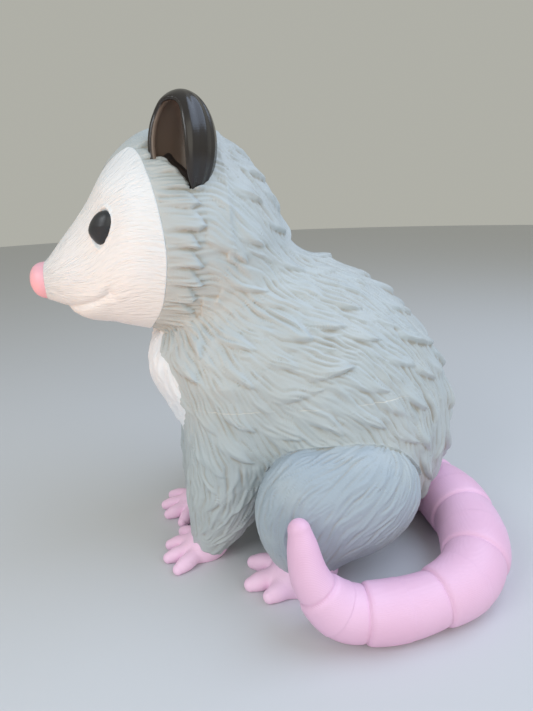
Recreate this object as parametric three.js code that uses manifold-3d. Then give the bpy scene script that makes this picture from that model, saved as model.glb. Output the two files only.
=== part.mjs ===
// Sitting opossum statue, printed in plastic and life-size, in millimetres.
// While it is shaped the statue faces -Y, its left side is +X, the floor is z = 0
// and y = 0 lies just behind the tips of the front toes.
import * as THREE from "three";
import Module from "manifold-3d";

const wasm = await Module();
wasm.setup();

// Gap kept between touching pieces, and the most a face is straightened by
const gap = 0.3;
const sliver = 0.12;
// Shift that brings the centre of the outline on the floor to the origin
const originShift = [-28.85, -111.6, 0];

// Trunk: four egg-shaped masses, centre and half sizes, leaning in the side view
const rump = { at: [0, 177, 105], half: [100, 114, 129], lean: -3.4 };
const barrel = { at: [0, 134.5, 157], half: [90, 111.5, 116], lean: 32.7 };
const breast = { at: [0, 78.5, 178], half: [74, 74, 49.5], lean: -5 };
const neckMass = { at: [0, 75, 285], half: [62, 56, 91.5], lean: 16.5 };
const trunkBlend = 30;
const skinRows = 21;
const skinSides = 28;
// Line inside the trunk from which its skin is measured, as [y, z]
const trunkCore = [
  [185, 90],
  [140, 160],
  [85, 225],
  [74, 300],
];

// Haunch and shank of a hind leg
const haunch = { at: [95, 153, 71], half: [37, 70, 52.5], lean: 4 };
const shank = { at: [97, 117.5, 60], half: [27.5, 33, 57], lean: 4.4 };
const haunchBlend = 20;
const haunchCore = [
  [165, 72],
  [118, 60],
];

// Head outline: y of the ring, top, underside and half width
const headRings = [
  [-83, 268, 254, 7],
  [-78, 272, 248, 12],
  [-70, 275.5, 243.5, 15.5],
  [-55, 291, 237, 23],
  [-32, 318, 225.5, 38],
  [-13, 346, 219, 51],
  [5, 364, 214, 60.5],
  [24, 374, 209, 66],
  [44, 377, 205, 68.5],
  [62, 374, 205, 67],
  [80, 368, 210, 60],
];
// Edge of the white face: angle round the head from its left side up, and y there
const faceEdge = [
  [-90, 6],
  [-65, 13],
  [-42, 22],
  [-12, 28],
  [18, 26],
  [36, 21],
  [54, 15],
  [68, 7],
  [80, -3],
  [90, -9],
];
const headAxisHeight = 290;
const noseBaseY = -70;
// Plane between the head's ruff and the neck: y at two heights
const ruffPlane = { low: [45, 205], high: [60, 330] };
// Plane between neck and trunk, from the throat to the saddle
const neckPlane = { front: [5, 192], back: [141, 283] };
// The seam between the two printed halves of the trunk
const seamHeight = 156;

// Eye
const eyeAt = [40, -17, 301.5];
const eyeHalf = { wide: 11, tall: 15.5, deep: 8.5 };

// Ear: a cupped leaf, its hollow facing forwards and out
const ear = {
  low: 322,
  high: 396,
  base: [45, 48],
  apex: [40, 46],
  turn: 40,
  halfWidth: 26,
  depth: 30,
  wall: 4.2,
  curl: 104,
};

// Front legs: z, centre x, centre y, half width, half depth
const forelegRings = [
  [1, 37, 41, 18, 12],
  [12, 37, 45, 21, 18],
  [28, 39, 53.5, 25, 26],
  [50, 42, 58, 29, 31],
  [80, 45, 61, 32, 33.5],
  [120, 47, 67, 33, 35],
  [165, 45, 76, 28, 30],
];
// Slanting lower edge of the front leg: height at two y
const cuff = { front: [26, 17], back: [53, 4] };

// Feet: centre of the palm, its half sizes, and each toe's tip and root as [x, y]
const forefoot = {
  palm: [37, 34, 6],
  half: [23, 20, 15],
  toeRadius: [7.8, 6.8],
  toes: [
    { tip: [68, 6], root: [50, 32] },
    { tip: [49, -3], root: [41, 28] },
    { tip: [24, -1], root: [30, 28] },
    { tip: [6, 15], root: [24, 34] },
  ],
};
const hindfoot = {
  palm: [99, 108, 6],
  half: [25, 32, 19],
  toeRadius: [8.2, 6.8],
  toes: [
    { tip: [76, 70], root: [87, 102] },
    { tip: [101, 63], root: [98, 100] },
    { tip: [122, 77], root: [108, 106] },
    { tip: [132, 104], root: [114, 116] },
  ],
};

// Tail: points of its centre line with the radius there
const tailLine = [
  [-8, 240, 29, 30],
  [14, 267, 27.5, 28.5],
  [52, 277, 28, 29],
  [97, 272.5, 27, 28],
  [135, 256, 25.5, 26.5],
  [157, 232, 23, 24],
  [167, 196, 20.5, 21.5],
  [168.5, 158, 20.5, 21.5],
  [164.5, 129, 25.5, 21],
  [159, 108, 51, 16],
  [148, 102, 86, 9.5],
];
// Share of the tail's length at which each of its lengths ends
const tailCreases = [0.0, 0.27, 0.42, 0.55, 0.68, 0.79, 0.9, 1.0];
const tailSwell = 1.3;

// White bib on the breast: height, half width
const bib = [
  [112, 3],
  [128, 16],
  [150, 26],
  [180, 31],
  [206, 29],
  [222, 20],
];
const bibDepth = 12;

// Raised locks of the carved coat: length, width, height at the tip
const coatLock = { long: 70, wide: 35, high: 4 };
const ruffLock = { long: 44, wide: 20, high: 4 };
const haunchLock = { long: 66, wide: 26, high: 3 };
const legLock = { long: 48, wide: 22, high: 2.8 };
// How far one piece's locks keep from the bare skin of the next piece
const lockClear = { coat: 4.4, haunch: 3.2, leg: 3.2, ruff: 4.2 };

const tailCurve = new THREE.CatmullRomCurve3(
  tailLine.map(([x, y, z]) => new THREE.Vector3(x, y, z)),
  false,
  "centripetal",
);

const rad = (degrees) => (degrees * Math.PI) / 180;

function sampleRow(rows, key, column = 0) {
  // Smooth value of every column at a key, through rows sorted by their first column
  let i = 0;
  while (i < rows.length - 2 && key > rows[i + 1][column]) i++;
  const a = rows[Math.max(i - 1, 0)];
  const b = rows[i];
  const c = rows[i + 1];
  const d = rows[Math.min(i + 2, rows.length - 1)];
  const t = Math.min(Math.max((key - b[column]) / (c[column] - b[column]), 0), 1);
  const slope = (p, q, j) => {
    const run = q[column] - p[column];
    return run ? (q[j] - p[j]) / run : 0;
  };
  return b.map((_, j) => {
    const run = c[column] - b[column];
    const m0 = slope(a, c, j) * run;
    const m1 = slope(b, d, j) * run;
    const t2 = t * t;
    const t3 = t2 * t;
    return (
      (2 * t3 - 3 * t2 + 1) * b[j] +
      (t3 - 2 * t2 + t) * m0 +
      (3 * t2 - 2 * t3) * c[j] +
      (t3 - t2) * m1
    );
  });
}

function manifoldFrom(points, faces) {
  const made = new wasm.Manifold(
    new wasm.Mesh({
      numProp: 3,
      vertProperties: new Float32Array(points.flat()),
      triVerts: new Uint32Array(faces.flat()),
    }),
  );
  if (made.volume() < 0) {
    throw new Error("inside out");
  }
  return made;
}

function closedRings(rings) {
  // Rings of equal count, closed by a point at each end
  const n = rings[0].length;
  const points = rings.flat();
  const faces = [];
  const middle = (ring) => {
    const sum = [0, 0, 0];
    ring.forEach((p) => p.forEach((v, k) => (sum[k] += v / n)));
    return sum;
  };
  for (let i = 0; i + 1 < rings.length; i++) {
    for (let j = 0; j < n; j++) {
      const a = i * n + j;
      const b = i * n + ((j + 1) % n);
      faces.push([a, b, b + n], [a, b + n, a + n]);
    }
  }
  const first = points.length;
  points.push(middle(rings[0]), middle(rings[rings.length - 1]));
  const last = (rings.length - 1) * n;
  for (let j = 0; j < n; j++) {
    const k = (j + 1) % n;
    faces.push([first, k, j], [first + 1, last + j, last + k]);
  }
  let volume = 0;
  for (const [a, b, c] of faces) {
    const [p, q, r] = [points[a], points[b], points[c]];
    volume +=
      p[0] * (q[1] * r[2] - q[2] * r[1]) -
      p[1] * (q[0] * r[2] - q[2] * r[0]) +
      p[2] * (q[0] * r[1] - q[1] * r[0]);
  }
  return manifoldFrom(points, volume < 0 ? faces.map(([a, b, c]) => [a, c, b]) : faces);
}

function eggDistance([x, y, z], { at, half, lean }, side = 1) {
  // Roughly the distance in mm from a point to an egg-shaped mass
  const c = Math.cos(rad(lean));
  const s = Math.sin(rad(lean));
  const dx = x - side * at[0];
  const dy = c * (y - at[1]) + s * (z - at[2]);
  const dz = -s * (y - at[1]) + c * (z - at[2]);
  const near = Math.hypot(dx / half[0], dy / half[1], dz / half[2]);
  const steep = Math.hypot(dx / half[0] ** 2, dy / half[1] ** 2, dz / half[2] ** 2);
  return (near * (near - 1)) / (steep + 1e-9);
}

function blend(a, b, width) {
  const h = Math.min(Math.max(0.5 + (0.5 * (b - a)) / width, 0), 1);
  return b * (1 - h) + a * h - width * h * (1 - h);
}

const trunkDistance = (p) =>
  [rump, barrel, breast, neckMass]
    .map((mass) => eggDistance(p, mass))
    .reduce((a, b) => blend(a, b, trunkBlend));

const haunchDistance = (side) => (p) =>
  blend(eggDistance(p, haunch, side), eggDistance(p, shank, side), haunchBlend);

function coreLine(core, x) {
  return new THREE.CatmullRomCurve3(core.map(([y, z]) => new THREE.Vector3(x, y, z)));
}

function skinPoint(distance, line, grow, reach, turn, angle) {
  // Point of the skin met by a ray that leaves the line at a turn and an angle round it
  const share = Math.min(Math.max((turn / Math.PI - 0.2) / 0.6, 0), 1);
  const from = line.getPointAt(share);
  const along = line.getTangentAt(share);
  const across = new THREE.Vector3(1, 0, 0);
  const up = new THREE.Vector3().crossVectors(across, along).normalize();
  const ray = along
    .clone()
    .multiplyScalar(-Math.cos(turn))
    .addScaledVector(up, Math.sin(turn) * Math.sin(angle))
    .addScaledVector(across, Math.sin(turn) * Math.cos(angle));
  const at = (r) => [from.x + ray.x * r, from.y + ray.y * r, from.z + ray.z * r];
  let out = reach;
  while (out > 8 && distance(at(out)) > grow) out -= 8;
  let inner = out;
  let outer = out + 8;
  for (let k = 0; k < 14; k++) {
    const mid = (inner + outer) / 2;
    if (distance(at(mid)) > grow) outer = mid;
    else inner = mid;
  }
  return at(inner);
}

function wrappedSkin(distance, core, x, grow, rings, sides, reach) {
  // Skin round a line inside the masses: rays from the line out to where they end
  const line = coreLine(core, x);
  const made = [];
  for (let i = 1; i < rings; i++) {
    const turn = (Math.PI * i) / rings;
    const ring = [];
    for (let j = 0; j < sides; j++) {
      ring.push(skinPoint(distance, line, grow, reach, turn, (2 * Math.PI * j) / sides));
    }
    made.push(ring);
  }
  return closedRings(made);
}

function headSkin(grow, rows = 14, sides = 26) {
  const first = headRings[0][0];
  const last = headRings[headRings.length - 1][0];
  const rings = [];
  for (let i = 0; i <= rows; i++) {
    const share = (i / rows) ** 1.25;
    const y = first + (last - first) * share;
    const [, top, low, wide] = sampleRow(headRings, y);
    const mid = (top + low) / 2;
    const tall = (top - low) / 2 + grow;
    const ring = [];
    for (let j = 0; j < sides; j++) {
      const angle = (2 * Math.PI * j) / sides;
      ring.push([(wide + grow) * Math.cos(angle), y, mid + tall * Math.sin(angle)]);
    }
    rings.push(ring);
  }
  return closedRings(rings);
}

function steepest(distance, p) {
  const step = 0.5;
  const slope = [0, 1, 2].map((k) => {
    const q = [...p];
    const r = [...p];
    q[k] += step;
    r[k] -= step;
    return distance(q) - distance(r);
  });
  return new THREE.Vector3(...slope).normalize();
}

function lockOn(distance, start, way, { long, wide, high }, bend = 0) {
  // Flat tapered lock along a skin: its root sunk in, its tip standing proud of the skin
  const stations = [
    [0, 0.5, -0.5, 5],
    [0.5, 1, 0.85, 4],
    [1, 0.05, 0.85, 0.7],
  ];
  let at = new THREE.Vector3(...start);
  let heading = way.clone();
  let before = 0;
  const rings = [];
  for (const [share, width, rise, sunk] of stations) {
    at.addScaledVector(heading, (share - before) * long);
    before = share;
    for (let k = 0; k < 2; k++) {
      at.addScaledVector(steepest(distance, at.toArray()), -distance(at.toArray()));
    }
    const out = steepest(distance, at.toArray());
    heading.applyAxisAngle(out, bend * 0.4);
    heading.addScaledVector(out, -heading.dot(out)).normalize();
    const side = new THREE.Vector3().crossVectors(out, heading);
    const half = (wide * width) / 2;
    const spot = (across, up) => at.clone().addScaledVector(side, across).addScaledVector(out, up);
    const edge = share < 1 ? -0.7 : high * rise - 0.4;
    const under = share < 1 ? -sunk : high * rise - sunk - 0.4;
    const corners = [spot(-half, edge), spot(0, under), spot(half, edge), spot(0, high * rise)];
    rings.push(corners.map((p) => p.toArray()));
  }
  return closedRings(rings);
}

// Seeded draw between -1 and 1, the same on every run
let drawState = 20233;
function draw() {
  drawState = (drawState * 48271) % 2147483647;
  return (2 * drawState) / 2147483647 - 1;
}

function joined(solids) {
  return wasm.Manifold.union(solids);
}

function block(x0, x1, y0, y1, z0, z1) {
  return wasm.Manifold.cube([x1 - x0, y1 - y0, z1 - z0]).translate([x0, y0, z0]);
}

const floorCut = block(-400, 400, -400, 600, -200, 0);

function sideBlock(a, b, depth, lift) {
  // Everything on one side of a plane through two [y, z] points, held across X
  const dy = b[0] - a[0];
  const dz = b[1] - a[1];
  const long = Math.hypot(dy, dz);
  const [uy, uz] = [dy / long, dz / long];
  const [ny, nz] = [uz, -uy];
  const corner = (along, out) => [a[0] + uy * along + ny * out, a[1] + uz * along + nz * out];
  const reach = 700;
  const quad = [corner(-reach, lift), corner(reach, lift), corner(reach, depth), corner(-reach, depth)];
  const low = quad.map(([y, z]) => [-400, y, z]);
  const high = quad.map(([y, z]) => [400, y, z]);
  const rings = [low, high];
  return closedRings(rings);
}

function faceCutter(front, lift) {
  // Solid in front of (or behind) the edge of the face, its surface fanned out from the head's axis
  const sides = 36;
  const radii = [0.5, 30, 55, 130];
  const rim = (angle) => {
    const up = Math.asin(Math.sin(angle)) * (180 / Math.PI);
    return sampleRow(faceEdge, up)[1];
  };
  const far = front ? -200 : 250;
  const rings = radii.map((r) => {
    const ring = [];
    for (let j = 0; j < sides; j++) {
      const angle = (2 * Math.PI * j) / sides;
      const share = Math.min(r / 30, 1);
      const y = 8 + (rim(angle) - 8) * share + lift;
      ring.push([r * Math.cos(angle), y, headAxisHeight + r * Math.sin(angle)]);
    }
    return ring;
  });
  rings.push(rings[rings.length - 1].map(([x, , z]) => [x, far, z]));
  return closedRings(rings);
}

function biggest(solid) {
  return solid.decompose().reduce((a, b) => (b.volume() > a.volume() ? b : a));
}

function largest(solid) {
  // Only the largest closed surface, without slivers thinner than the eye can see
  return biggest(biggest(solid).asOriginal().simplify(sliver));
}

function mirrored(solid) {
  return solid.mirror([1, 0, 0]);
}

// Trunk, neck and bib
const trunkBase = wrappedSkin(trunkDistance, trunkCore, 0, 0, skinRows, skinSides, 240);
const trunkGrown = wrappedSkin(trunkDistance, trunkCore, 0, gap, skinRows, skinSides, 240);
const beforeRuff = sideBlock(ruffPlane.low, ruffPlane.high, -500, 0);
const belowNeck = sideBlock(neckPlane.front, neckPlane.back, 900, gap);
const aboveNeck = sideBlock(neckPlane.front, neckPlane.back, -900, 0);

function bibCutter(grow) {
  const rows = 14;
  const low = bib[0][0] - grow;
  const high = bib[bib.length - 1][0] + grow;
  const left = [];
  const right = [];
  for (let i = 0; i <= rows; i++) {
    const z = low + ((high - low) * i) / rows;
    const wide = sampleRow(bib, z)[1] + grow;
    left.push([wide, z]);
    right.unshift([-wide, z]);
  }
  const outline = [...left, ...right];
  return closedRings([
    outline.map(([x, z]) => [x, -120, z]),
    outline.map(([x, z]) => [x, 300, z]),
  ]);
}

// Depth of the bib: kept to a layer under the breast's own skin
const trunkInner = wrappedSkin(trunkDistance, trunkCore, 0, -bibDepth, skinRows, skinSides, 240);
const trunkInnerLess = wrappedSkin(trunkDistance, trunkCore, 0, -bibDepth - gap, skinRows, skinSides, 240);
const frontHalf = block(-200, 200, -200, 90, 0, 260);
const bibRough = trunkBase.subtract(trunkInner).intersect(bibCutter(0)).intersect(frontHalf);
const bibPocket = trunkGrown
  .subtract(trunkInnerLess)
  .intersect(bibCutter(gap))
  .intersect(block(-200, 200, -200, 90 + gap, 0, 260));

const headBase = headSkin(0);
const headGrown = headSkin(gap);
const headRoom = headGrown.intersect(sideBlock(ruffPlane.low, ruffPlane.high, -500, gap));

function coatWay([x, y, z]) {
  // Lie of the coat: back and down, steeper on the breast and over the front legs
  const front = Math.min(Math.max((120 - y) / 90, 0), 1) * Math.min(Math.max((250 - z) / 90, 0), 1);
  const low = Math.min(Math.max((150 - z) / 120, 0), 1);
  const fall = rad(40 + 32 * front + 12 * low);
  return new THREE.Vector3(0.12 * Math.sign(x) * (1 - front), Math.cos(fall), -Math.sin(fall));
}

function coatLocks() {
  // Rows of locks round the trunk, each row staggered against the last
  const line = coreLine(trunkCore, 0);
  const rows = 9;
  const locks = [];
  for (let i = 0; i < rows; i++) {
    const turn = rad(30 + (i * 130) / (rows - 1));
    const girth = Math.sin(turn) ** 0.6;
    const count = Math.round((i > 6 ? 8 : 12) * girth);
    for (let j = 0; j < count; j++) {
      const angle = (2 * Math.PI * (j + (i % 2 ? 0.5 : 0) + 0.16 * draw())) / count;
      const at = skinPoint(trunkDistance, line, 0, 240, turn + 0.05 * draw(), angle);
      const grows = 1 + 0.14 * draw();
      const bend = 0.35 * draw();
      if (at[2] < 34 || (at[1] < 110 && at[2] < 95)) continue;
      if (Math.abs(at[0]) < 40 && at[1] < 60 && at[2] < 250) continue;
      const size = { ...coatLock, long: coatLock.long * grows, wide: coatLock.wide * grows };
      locks.push(lockOn(trunkDistance, at, coatWay(at), size, bend));
    }
  }
  return joined(locks);
}

const upFront = block(-300, 300, -300, 300, 203, 600);
const trunkClear = joined([
  headSkin(lockClear.ruff).intersect(sideBlock(ruffPlane.low, ruffPlane.high, -500, gap)),
  sideBlock(ruffPlane.low, ruffPlane.high, -500, gap).intersect(upFront),
  haunchSkin(1, lockClear.haunch),
  haunchSkin(-1, lockClear.haunch),
  legShape(1, lockClear.leg),
  legShape(-1, lockClear.leg),
  bibCutter(gap).intersect(frontHalf),
  tailRoot(2.2),
  earRoom(1),
  earRoom(-1),
]);
const trunkDressed = trunkBase.add(coatLocks().subtract(trunkClear));
const trunkStanding = trunkDressed.subtract(floorCut).subtract(bibPocket).subtract(headRoom);
const bibPlate = largest(bibRough.subtract(headRoom));
const neckSolid = largest(trunkStanding.intersect(aboveNeck));
const trunkSolid = trunkStanding.intersect(belowNeck);
const upperTrunk = largest(trunkSolid.intersect(block(-400, 400, -400, 600, seamHeight + gap, 600)));
const lowerTrunk = largest(trunkSolid.intersect(block(-400, 400, -400, 600, -1, seamHeight)));

// Head, face and nose
const noseCut = block(-60, 60, -200, noseBaseY, 200, 330);
const faceLess = block(-60, 60, -200, noseBaseY + gap, 200, 330);
const noseSolid = headBase.intersect(noseCut);

function eyeShape(grow, side) {
  const ball = wasm.Manifold.sphere(1, 16)
    .scale([eyeHalf.deep + grow, eyeHalf.wide + grow, eyeHalf.tall + grow])
    .rotate([-14, 0, -38])
    .translate(eyeAt);
  return side > 0 ? ball : mirrored(ball);
}
const eyeHoles = eyeShape(gap, 1).add(eyeShape(gap, -1));
const faceSolid = largest(
  headBase.intersect(faceCutter(true, 0)).subtract(faceLess).subtract(eyeHoles),
);

function headDistance([x, y, z]) {
  // Roughly the distance in mm from a point to the head's skin
  const [, top, low, wide] = sampleRow(headRings, y);
  const tall = (top - low) / 2;
  const dz = z - (top + low) / 2;
  const near = Math.hypot(x / wide, dz / tall);
  const steep = Math.hypot(x / wide ** 2, dz / tall ** 2);
  return (near * (near - 1)) / (steep + 1e-9);
}

function ruffLocks() {
  // A ring of locks from the edge of the face back to the ruff's edge
  const count = 24;
  const locks = [];
  for (let j = 0; j < count; j++) {
    const angle = (2 * Math.PI * (j + 0.5)) / count;
    const up = Math.asin(Math.sin(angle)) * (180 / Math.PI);
    const start = sampleRow(faceEdge, up)[1] + 3 + 2 * draw();
    const [, top, low, wide] = sampleRow(headRings, start);
    const z = (top + low) / 2 + ((top - low) / 2) * Math.sin(angle);
    const at = [wide * Math.cos(angle), start, z];
    const end = ruffPlane.low[0] + 0.12 * (z - 205) - 1;
    const size = { ...ruffLock, long: end - start + 2 * draw(), wide: ruffLock.wide * (1 + 0.1 * draw()) };
    const way = new THREE.Vector3(0, 1, -0.12 + 0.1 * draw());
    locks.push(lockOn(headDistance, at, way, size, 0.12 * draw()));
  }
  return joined(locks);
}

const trunkFar = wrappedSkin(trunkDistance, trunkCore, 0, lockClear.coat, skinRows, skinSides, 240);
const ruffClear = joined([earRoom(1), earRoom(-1), trunkFar]);
const headDressed = headBase.add(ruffLocks().subtract(ruffClear));
const headSolid = largest(headDressed.intersect(faceCutter(false, gap)).intersect(beforeRuff));

function earShape(side) {
  // Curved wall: an outer and an inner sheet joined along the rim
  const rows = 10;
  const sides = 10;
  const out = [];
  const turn = rad(ear.turn);
  const rimWay = [Math.cos(turn), Math.sin(turn)];
  const backWay = [-Math.sin(turn), Math.cos(turn)];
  for (let i = 0; i <= rows; i++) {
    const t = i / rows;
    const z = ear.low + (ear.high - ear.low) * t;
    const round = Math.sqrt(Math.max(1 - Math.abs(2 * t ** 0.85 - 0.86) ** 2.2 / 1.36, 0.004));
    const x0 = ear.base[0] + (ear.apex[0] - ear.base[0]) * t;
    const y0 = ear.base[1] + (ear.apex[1] - ear.base[1]) * t;
    const ring = [];
    for (const thin of [0, 1]) {
      for (let j = 0; j <= sides; j++) {
        const k = thin ? sides - j : j;
        const phi = rad(ear.curl) * ((2 * k) / sides - 1);
        const a = Math.max(ear.halfWidth * round - thin * ear.wall, 0.4 * ear.halfWidth * round);
        const d = Math.max(ear.depth * round - thin * ear.wall, 0.4 * ear.depth * round);
        const u = a * Math.sin(phi);
        const v = d * Math.cos(phi);
        ring.push([
          side * (x0 + u * rimWay[0] + v * backWay[0]),
          y0 + u * rimWay[1] + v * backWay[1],
          z,
        ]);
      }
    }
    out.push(ring);
  }
  return closedRings(out);
}

function earRoom(side) {
  // The ear's outline, a little larger, for locks to keep clear of
  const middle = [side * ear.base[0], ear.base[1], (ear.low + ear.high) / 2];
  const away = middle.map((v) => -v);
  return earShape(side).hull().translate(away).scale(1.04).translate(middle);
}

function legShape(side, grow = 0) {
  const rows = 8;
  const sides = 18;
  const low = forelegRings[0][0];
  const high = forelegRings[forelegRings.length - 1][0];
  const rings = [];
  for (let i = 0; i <= rows; i++) {
    const z = low + ((high - low) * i) / rows;
    const [, cx, cy, hx, hy] = sampleRow(forelegRings, z);
    const ring = [];
    for (let j = 0; j < sides; j++) {
      const angle = (2 * Math.PI * j) / sides;
      ring.push([
        side * (cx + (hx + grow) * Math.cos(angle)),
        cy + (hy + grow) * Math.sin(angle),
        z,
      ]);
    }
    rings.push(ring);
  }
  return closedRings(rings);
}

function capsule(from, to, r0, r1, sides = 8) {
  // A toe: round all over, from its root to its tip
  const a = new THREE.Vector3(...from);
  const b = new THREE.Vector3(...to);
  const along = b.clone().sub(a).normalize();
  const side = new THREE.Vector3(-along.y, along.x, 0).normalize();
  const up = new THREE.Vector3().crossVectors(along, side);
  const rings = [];
  const push = (center, radius) => {
    const ring = [];
    for (let j = 0; j < sides; j++) {
      const angle = (2 * Math.PI * j) / sides;
      const p = center
        .clone()
        .addScaledVector(side, radius * Math.cos(angle))
        .addScaledVector(up, radius * Math.sin(angle));
      ring.push([p.x, p.y, p.z]);
    }
    rings.push(ring);
  };
  for (const angle of [-60, -15]) {
    push(a.clone().addScaledVector(along, r0 * Math.sin(rad(angle))), r0 * Math.cos(rad(angle)));
  }
  for (const angle of [10, 42, 72]) {
    push(b.clone().addScaledVector(along, r1 * Math.sin(rad(angle))), r1 * Math.cos(rad(angle)));
  }
  return closedRings(rings);
}

function footShape(foot, side, grow = 0) {
  const half = foot.half.map((v) => v + grow);
  let made = wasm.Manifold.sphere(1, 12).scale(half).translate(foot.palm);
  const [r0, r1] = foot.toeRadius.map((v) => v + grow);
  for (const { tip, root } of foot.toes) {
    const long = Math.hypot(tip[0] - root[0], tip[1] - root[1]);
    const back = (long - r1) / long;
    const end = [root[0] + (tip[0] - root[0]) * back, root[1] + (tip[1] - root[1]) * back];
    made = made.add(capsule([...root, r0 + 1.5], [...end, r1 - 0.6], r0, r1));
  }
  return side > 0 ? made : mirrored(made);
}

const cuffAbove = sideBlock(cuff.back, cuff.front, 400, 0);
const cuffBelow = sideBlock(cuff.back, cuff.front, -400, -gap);

function legDistance(side) {
  return ([x, y, z]) => {
    const [, cx, cy, hx, hy] = sampleRow(forelegRings, z);
    const dx = side * x - cx;
    const dy = y - cy;
    const near = Math.hypot(dx / hx, dy / hy);
    const steep = Math.hypot(dx / hx ** 2, dy / hy ** 2);
    return (near * (near - 1)) / (steep + 1e-9);
  };
}

function legLocks(side) {
  const locks = [];
  for (const [z, shift] of [
    [104, 0],
    [68, 0.5],
  ]) {
    const [, cx, cy, hx, hy] = sampleRow(forelegRings, z);
    for (let j = 0; j < 5; j++) {
      const angle = (2 * Math.PI * (j + shift + 0.12 * draw())) / 5;
      const at = [side * (cx + hx * Math.cos(angle)), cy + hy * Math.sin(angle), z + 5 * draw()];
      const way = new THREE.Vector3(0, 0.12, -1);
      locks.push(lockOn(legDistance(side), at, way, legLock, 0.2 * draw()));
    }
  }
  return joined(locks);
}

function forelegSolid(side) {
  const nearby = joined([trunkFar, haunchSkin(side, lockClear.haunch)]);
  const dressed = legShape(side).add(legLocks(side).subtract(nearby));
  return largest(dressed.intersect(cuffAbove).subtract(trunkGrown).subtract(floorCut));
}

function forefootSolid(side) {
  return largest(footShape(forefoot, side).intersect(cuffBelow).subtract(floorCut));
}

function haunchSkin(side, grow) {
  return wrappedSkin(haunchDistance(side), haunchCore, side * 96, grow, 12, 18, 120);
}

function haunchLocks(side) {
  // Long, low strands that sweep over the haunch and down to the foot
  const line = coreLine(haunchCore, side * 96);
  const distance = haunchDistance(side);
  const locks = [];
  for (let i = 0; i < 4; i++) {
    const turn = rad(45 + i * 28);
    const count = i % 3 ? 4 : 3;
    for (let j = 0; j < count; j++) {
      const swing = rad(24 - (112 * (j + (i % 2 ? 0.6 : 0.1))) / count);
      const angle = side > 0 ? swing : Math.PI - swing;
      const at = skinPoint(distance, line, 0, 120, turn, angle + 0.05 * draw());
      const fore = Math.min(Math.max((175 - at[1]) / 90, 0), 1);
      const way = new THREE.Vector3(0, 0.55 - 0.75 * fore, -0.5 - 0.3 * fore);
      locks.push(lockOn(distance, at, way, haunchLock, side * 0.25 + 0.15 * draw()));
    }
  }
  return joined(locks);
}

function haunchSolid(side) {
  const nearby = joined([trunkFar, legShape(side, lockClear.leg), footShape(hindfoot, side, 0.6)]);
  const dressed = haunchSkin(side, 0).add(haunchLocks(side).subtract(nearby));
  return largest(dressed.subtract(trunkGrown).subtract(floorCut));
}

function hindfootSolid(side) {
  return largest(
    footShape(hindfoot, side).subtract(haunchSkin(side, gap)).subtract(trunkGrown).subtract(floorCut),
  );
}

function tailRoot(grow) {
  // The first stretch of the tail, a little thicker, for the coat to keep clear of
  const balls = [0, 0.03, 0.06, 0.09, 0.12, 0.15, 0.18, 0.21].map((share) => {
    const at = tailCurve.getPointAt(share);
    return wasm.Manifold.sphere(tailLine[0][3] + grow, 12).translate([at.x, at.y, at.z]);
  });
  return joined(balls);
}

function tailLength(index) {
  // One length of the tail, a little fuller in its middle than at its ends
  const a = tailCreases[index];
  const b = tailCreases[index + 1];
  const long = tailCurve.getLength();
  const start = a + (index ? gap / 2 / long : 0);
  const last = index === tailCreases.length - 2;
  const end = b - (last ? 0 : gap / 2 / long);
  const rows = index === 0 || last ? 7 : 5;
  const sides = 16;
  const rings = [];
  for (let i = 0; i <= rows; i++) {
    const share = start + ((end - start) * i) / rows;
    const at = tailCurve.getPointAt(share);
    const along = tailCurve.getTangentAt(share);
    const key = tailCurve.getUtoTmapping(share) * (tailLine.length - 1);
    const radii = tailLine.map((row, k) => [k, row[3]]);
    let radius = sampleRow(radii, key)[1];
    radius += tailSwell * (Math.sin((Math.PI * i) / rows) ** 0.6 - 0.6);
    const side = new THREE.Vector3(-along.y, along.x, 0).normalize();
    const up = new THREE.Vector3().crossVectors(along, side);
    const ring = [];
    for (let j = 0; j < sides; j++) {
      const angle = (2 * Math.PI * j) / sides;
      const p = at
        .clone()
        .addScaledVector(side, radius * Math.cos(angle))
        .addScaledVector(up, radius * Math.sin(angle));
      ring.push([p.x, p.y, p.z]);
    }
    rings.push(ring);
  }
  if (last) {
    const tip = tailLine[tailLine.length - 1];
    const along = tailCurve.getTangentAt(1);
    const side = new THREE.Vector3(-along.y, along.x, 0).normalize();
    const up = new THREE.Vector3().crossVectors(along, side);
    for (const angle of [25, 50, 72]) {
      const at = new THREE.Vector3(...tip.slice(0, 3)).addScaledVector(along, tip[3] * Math.sin(rad(angle)));
      const radius = tip[3] * Math.cos(rad(angle));
      const ring = [];
      for (let j = 0; j < sides; j++) {
        const turn = (2 * Math.PI * j) / sides;
        const p = at
          .clone()
          .addScaledVector(side, radius * Math.cos(turn))
          .addScaledVector(up, radius * Math.sin(turn));
        ring.push([p.x, p.y, p.z]);
      }
      rings.push(ring);
    }
  }
  const made = closedRings(rings).subtract(floorCut);
  return index === 0 ? largest(made.subtract(trunkGrown)) : made;
}

const root = new THREE.Group();
root.name = "opossum_statue";

const finishes = {
  grey: { color: 0xb4bbbd, roughness: 0.55 },
  white: { color: 0xeceae6, roughness: 0.5 },
  pink: { color: 0xeba9b4, roughness: 0.45 },
  lilac: { color: 0xe6b3d0, roughness: 0.5 },
  black: { color: 0x17171a, roughness: 0.2 },
};

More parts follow.
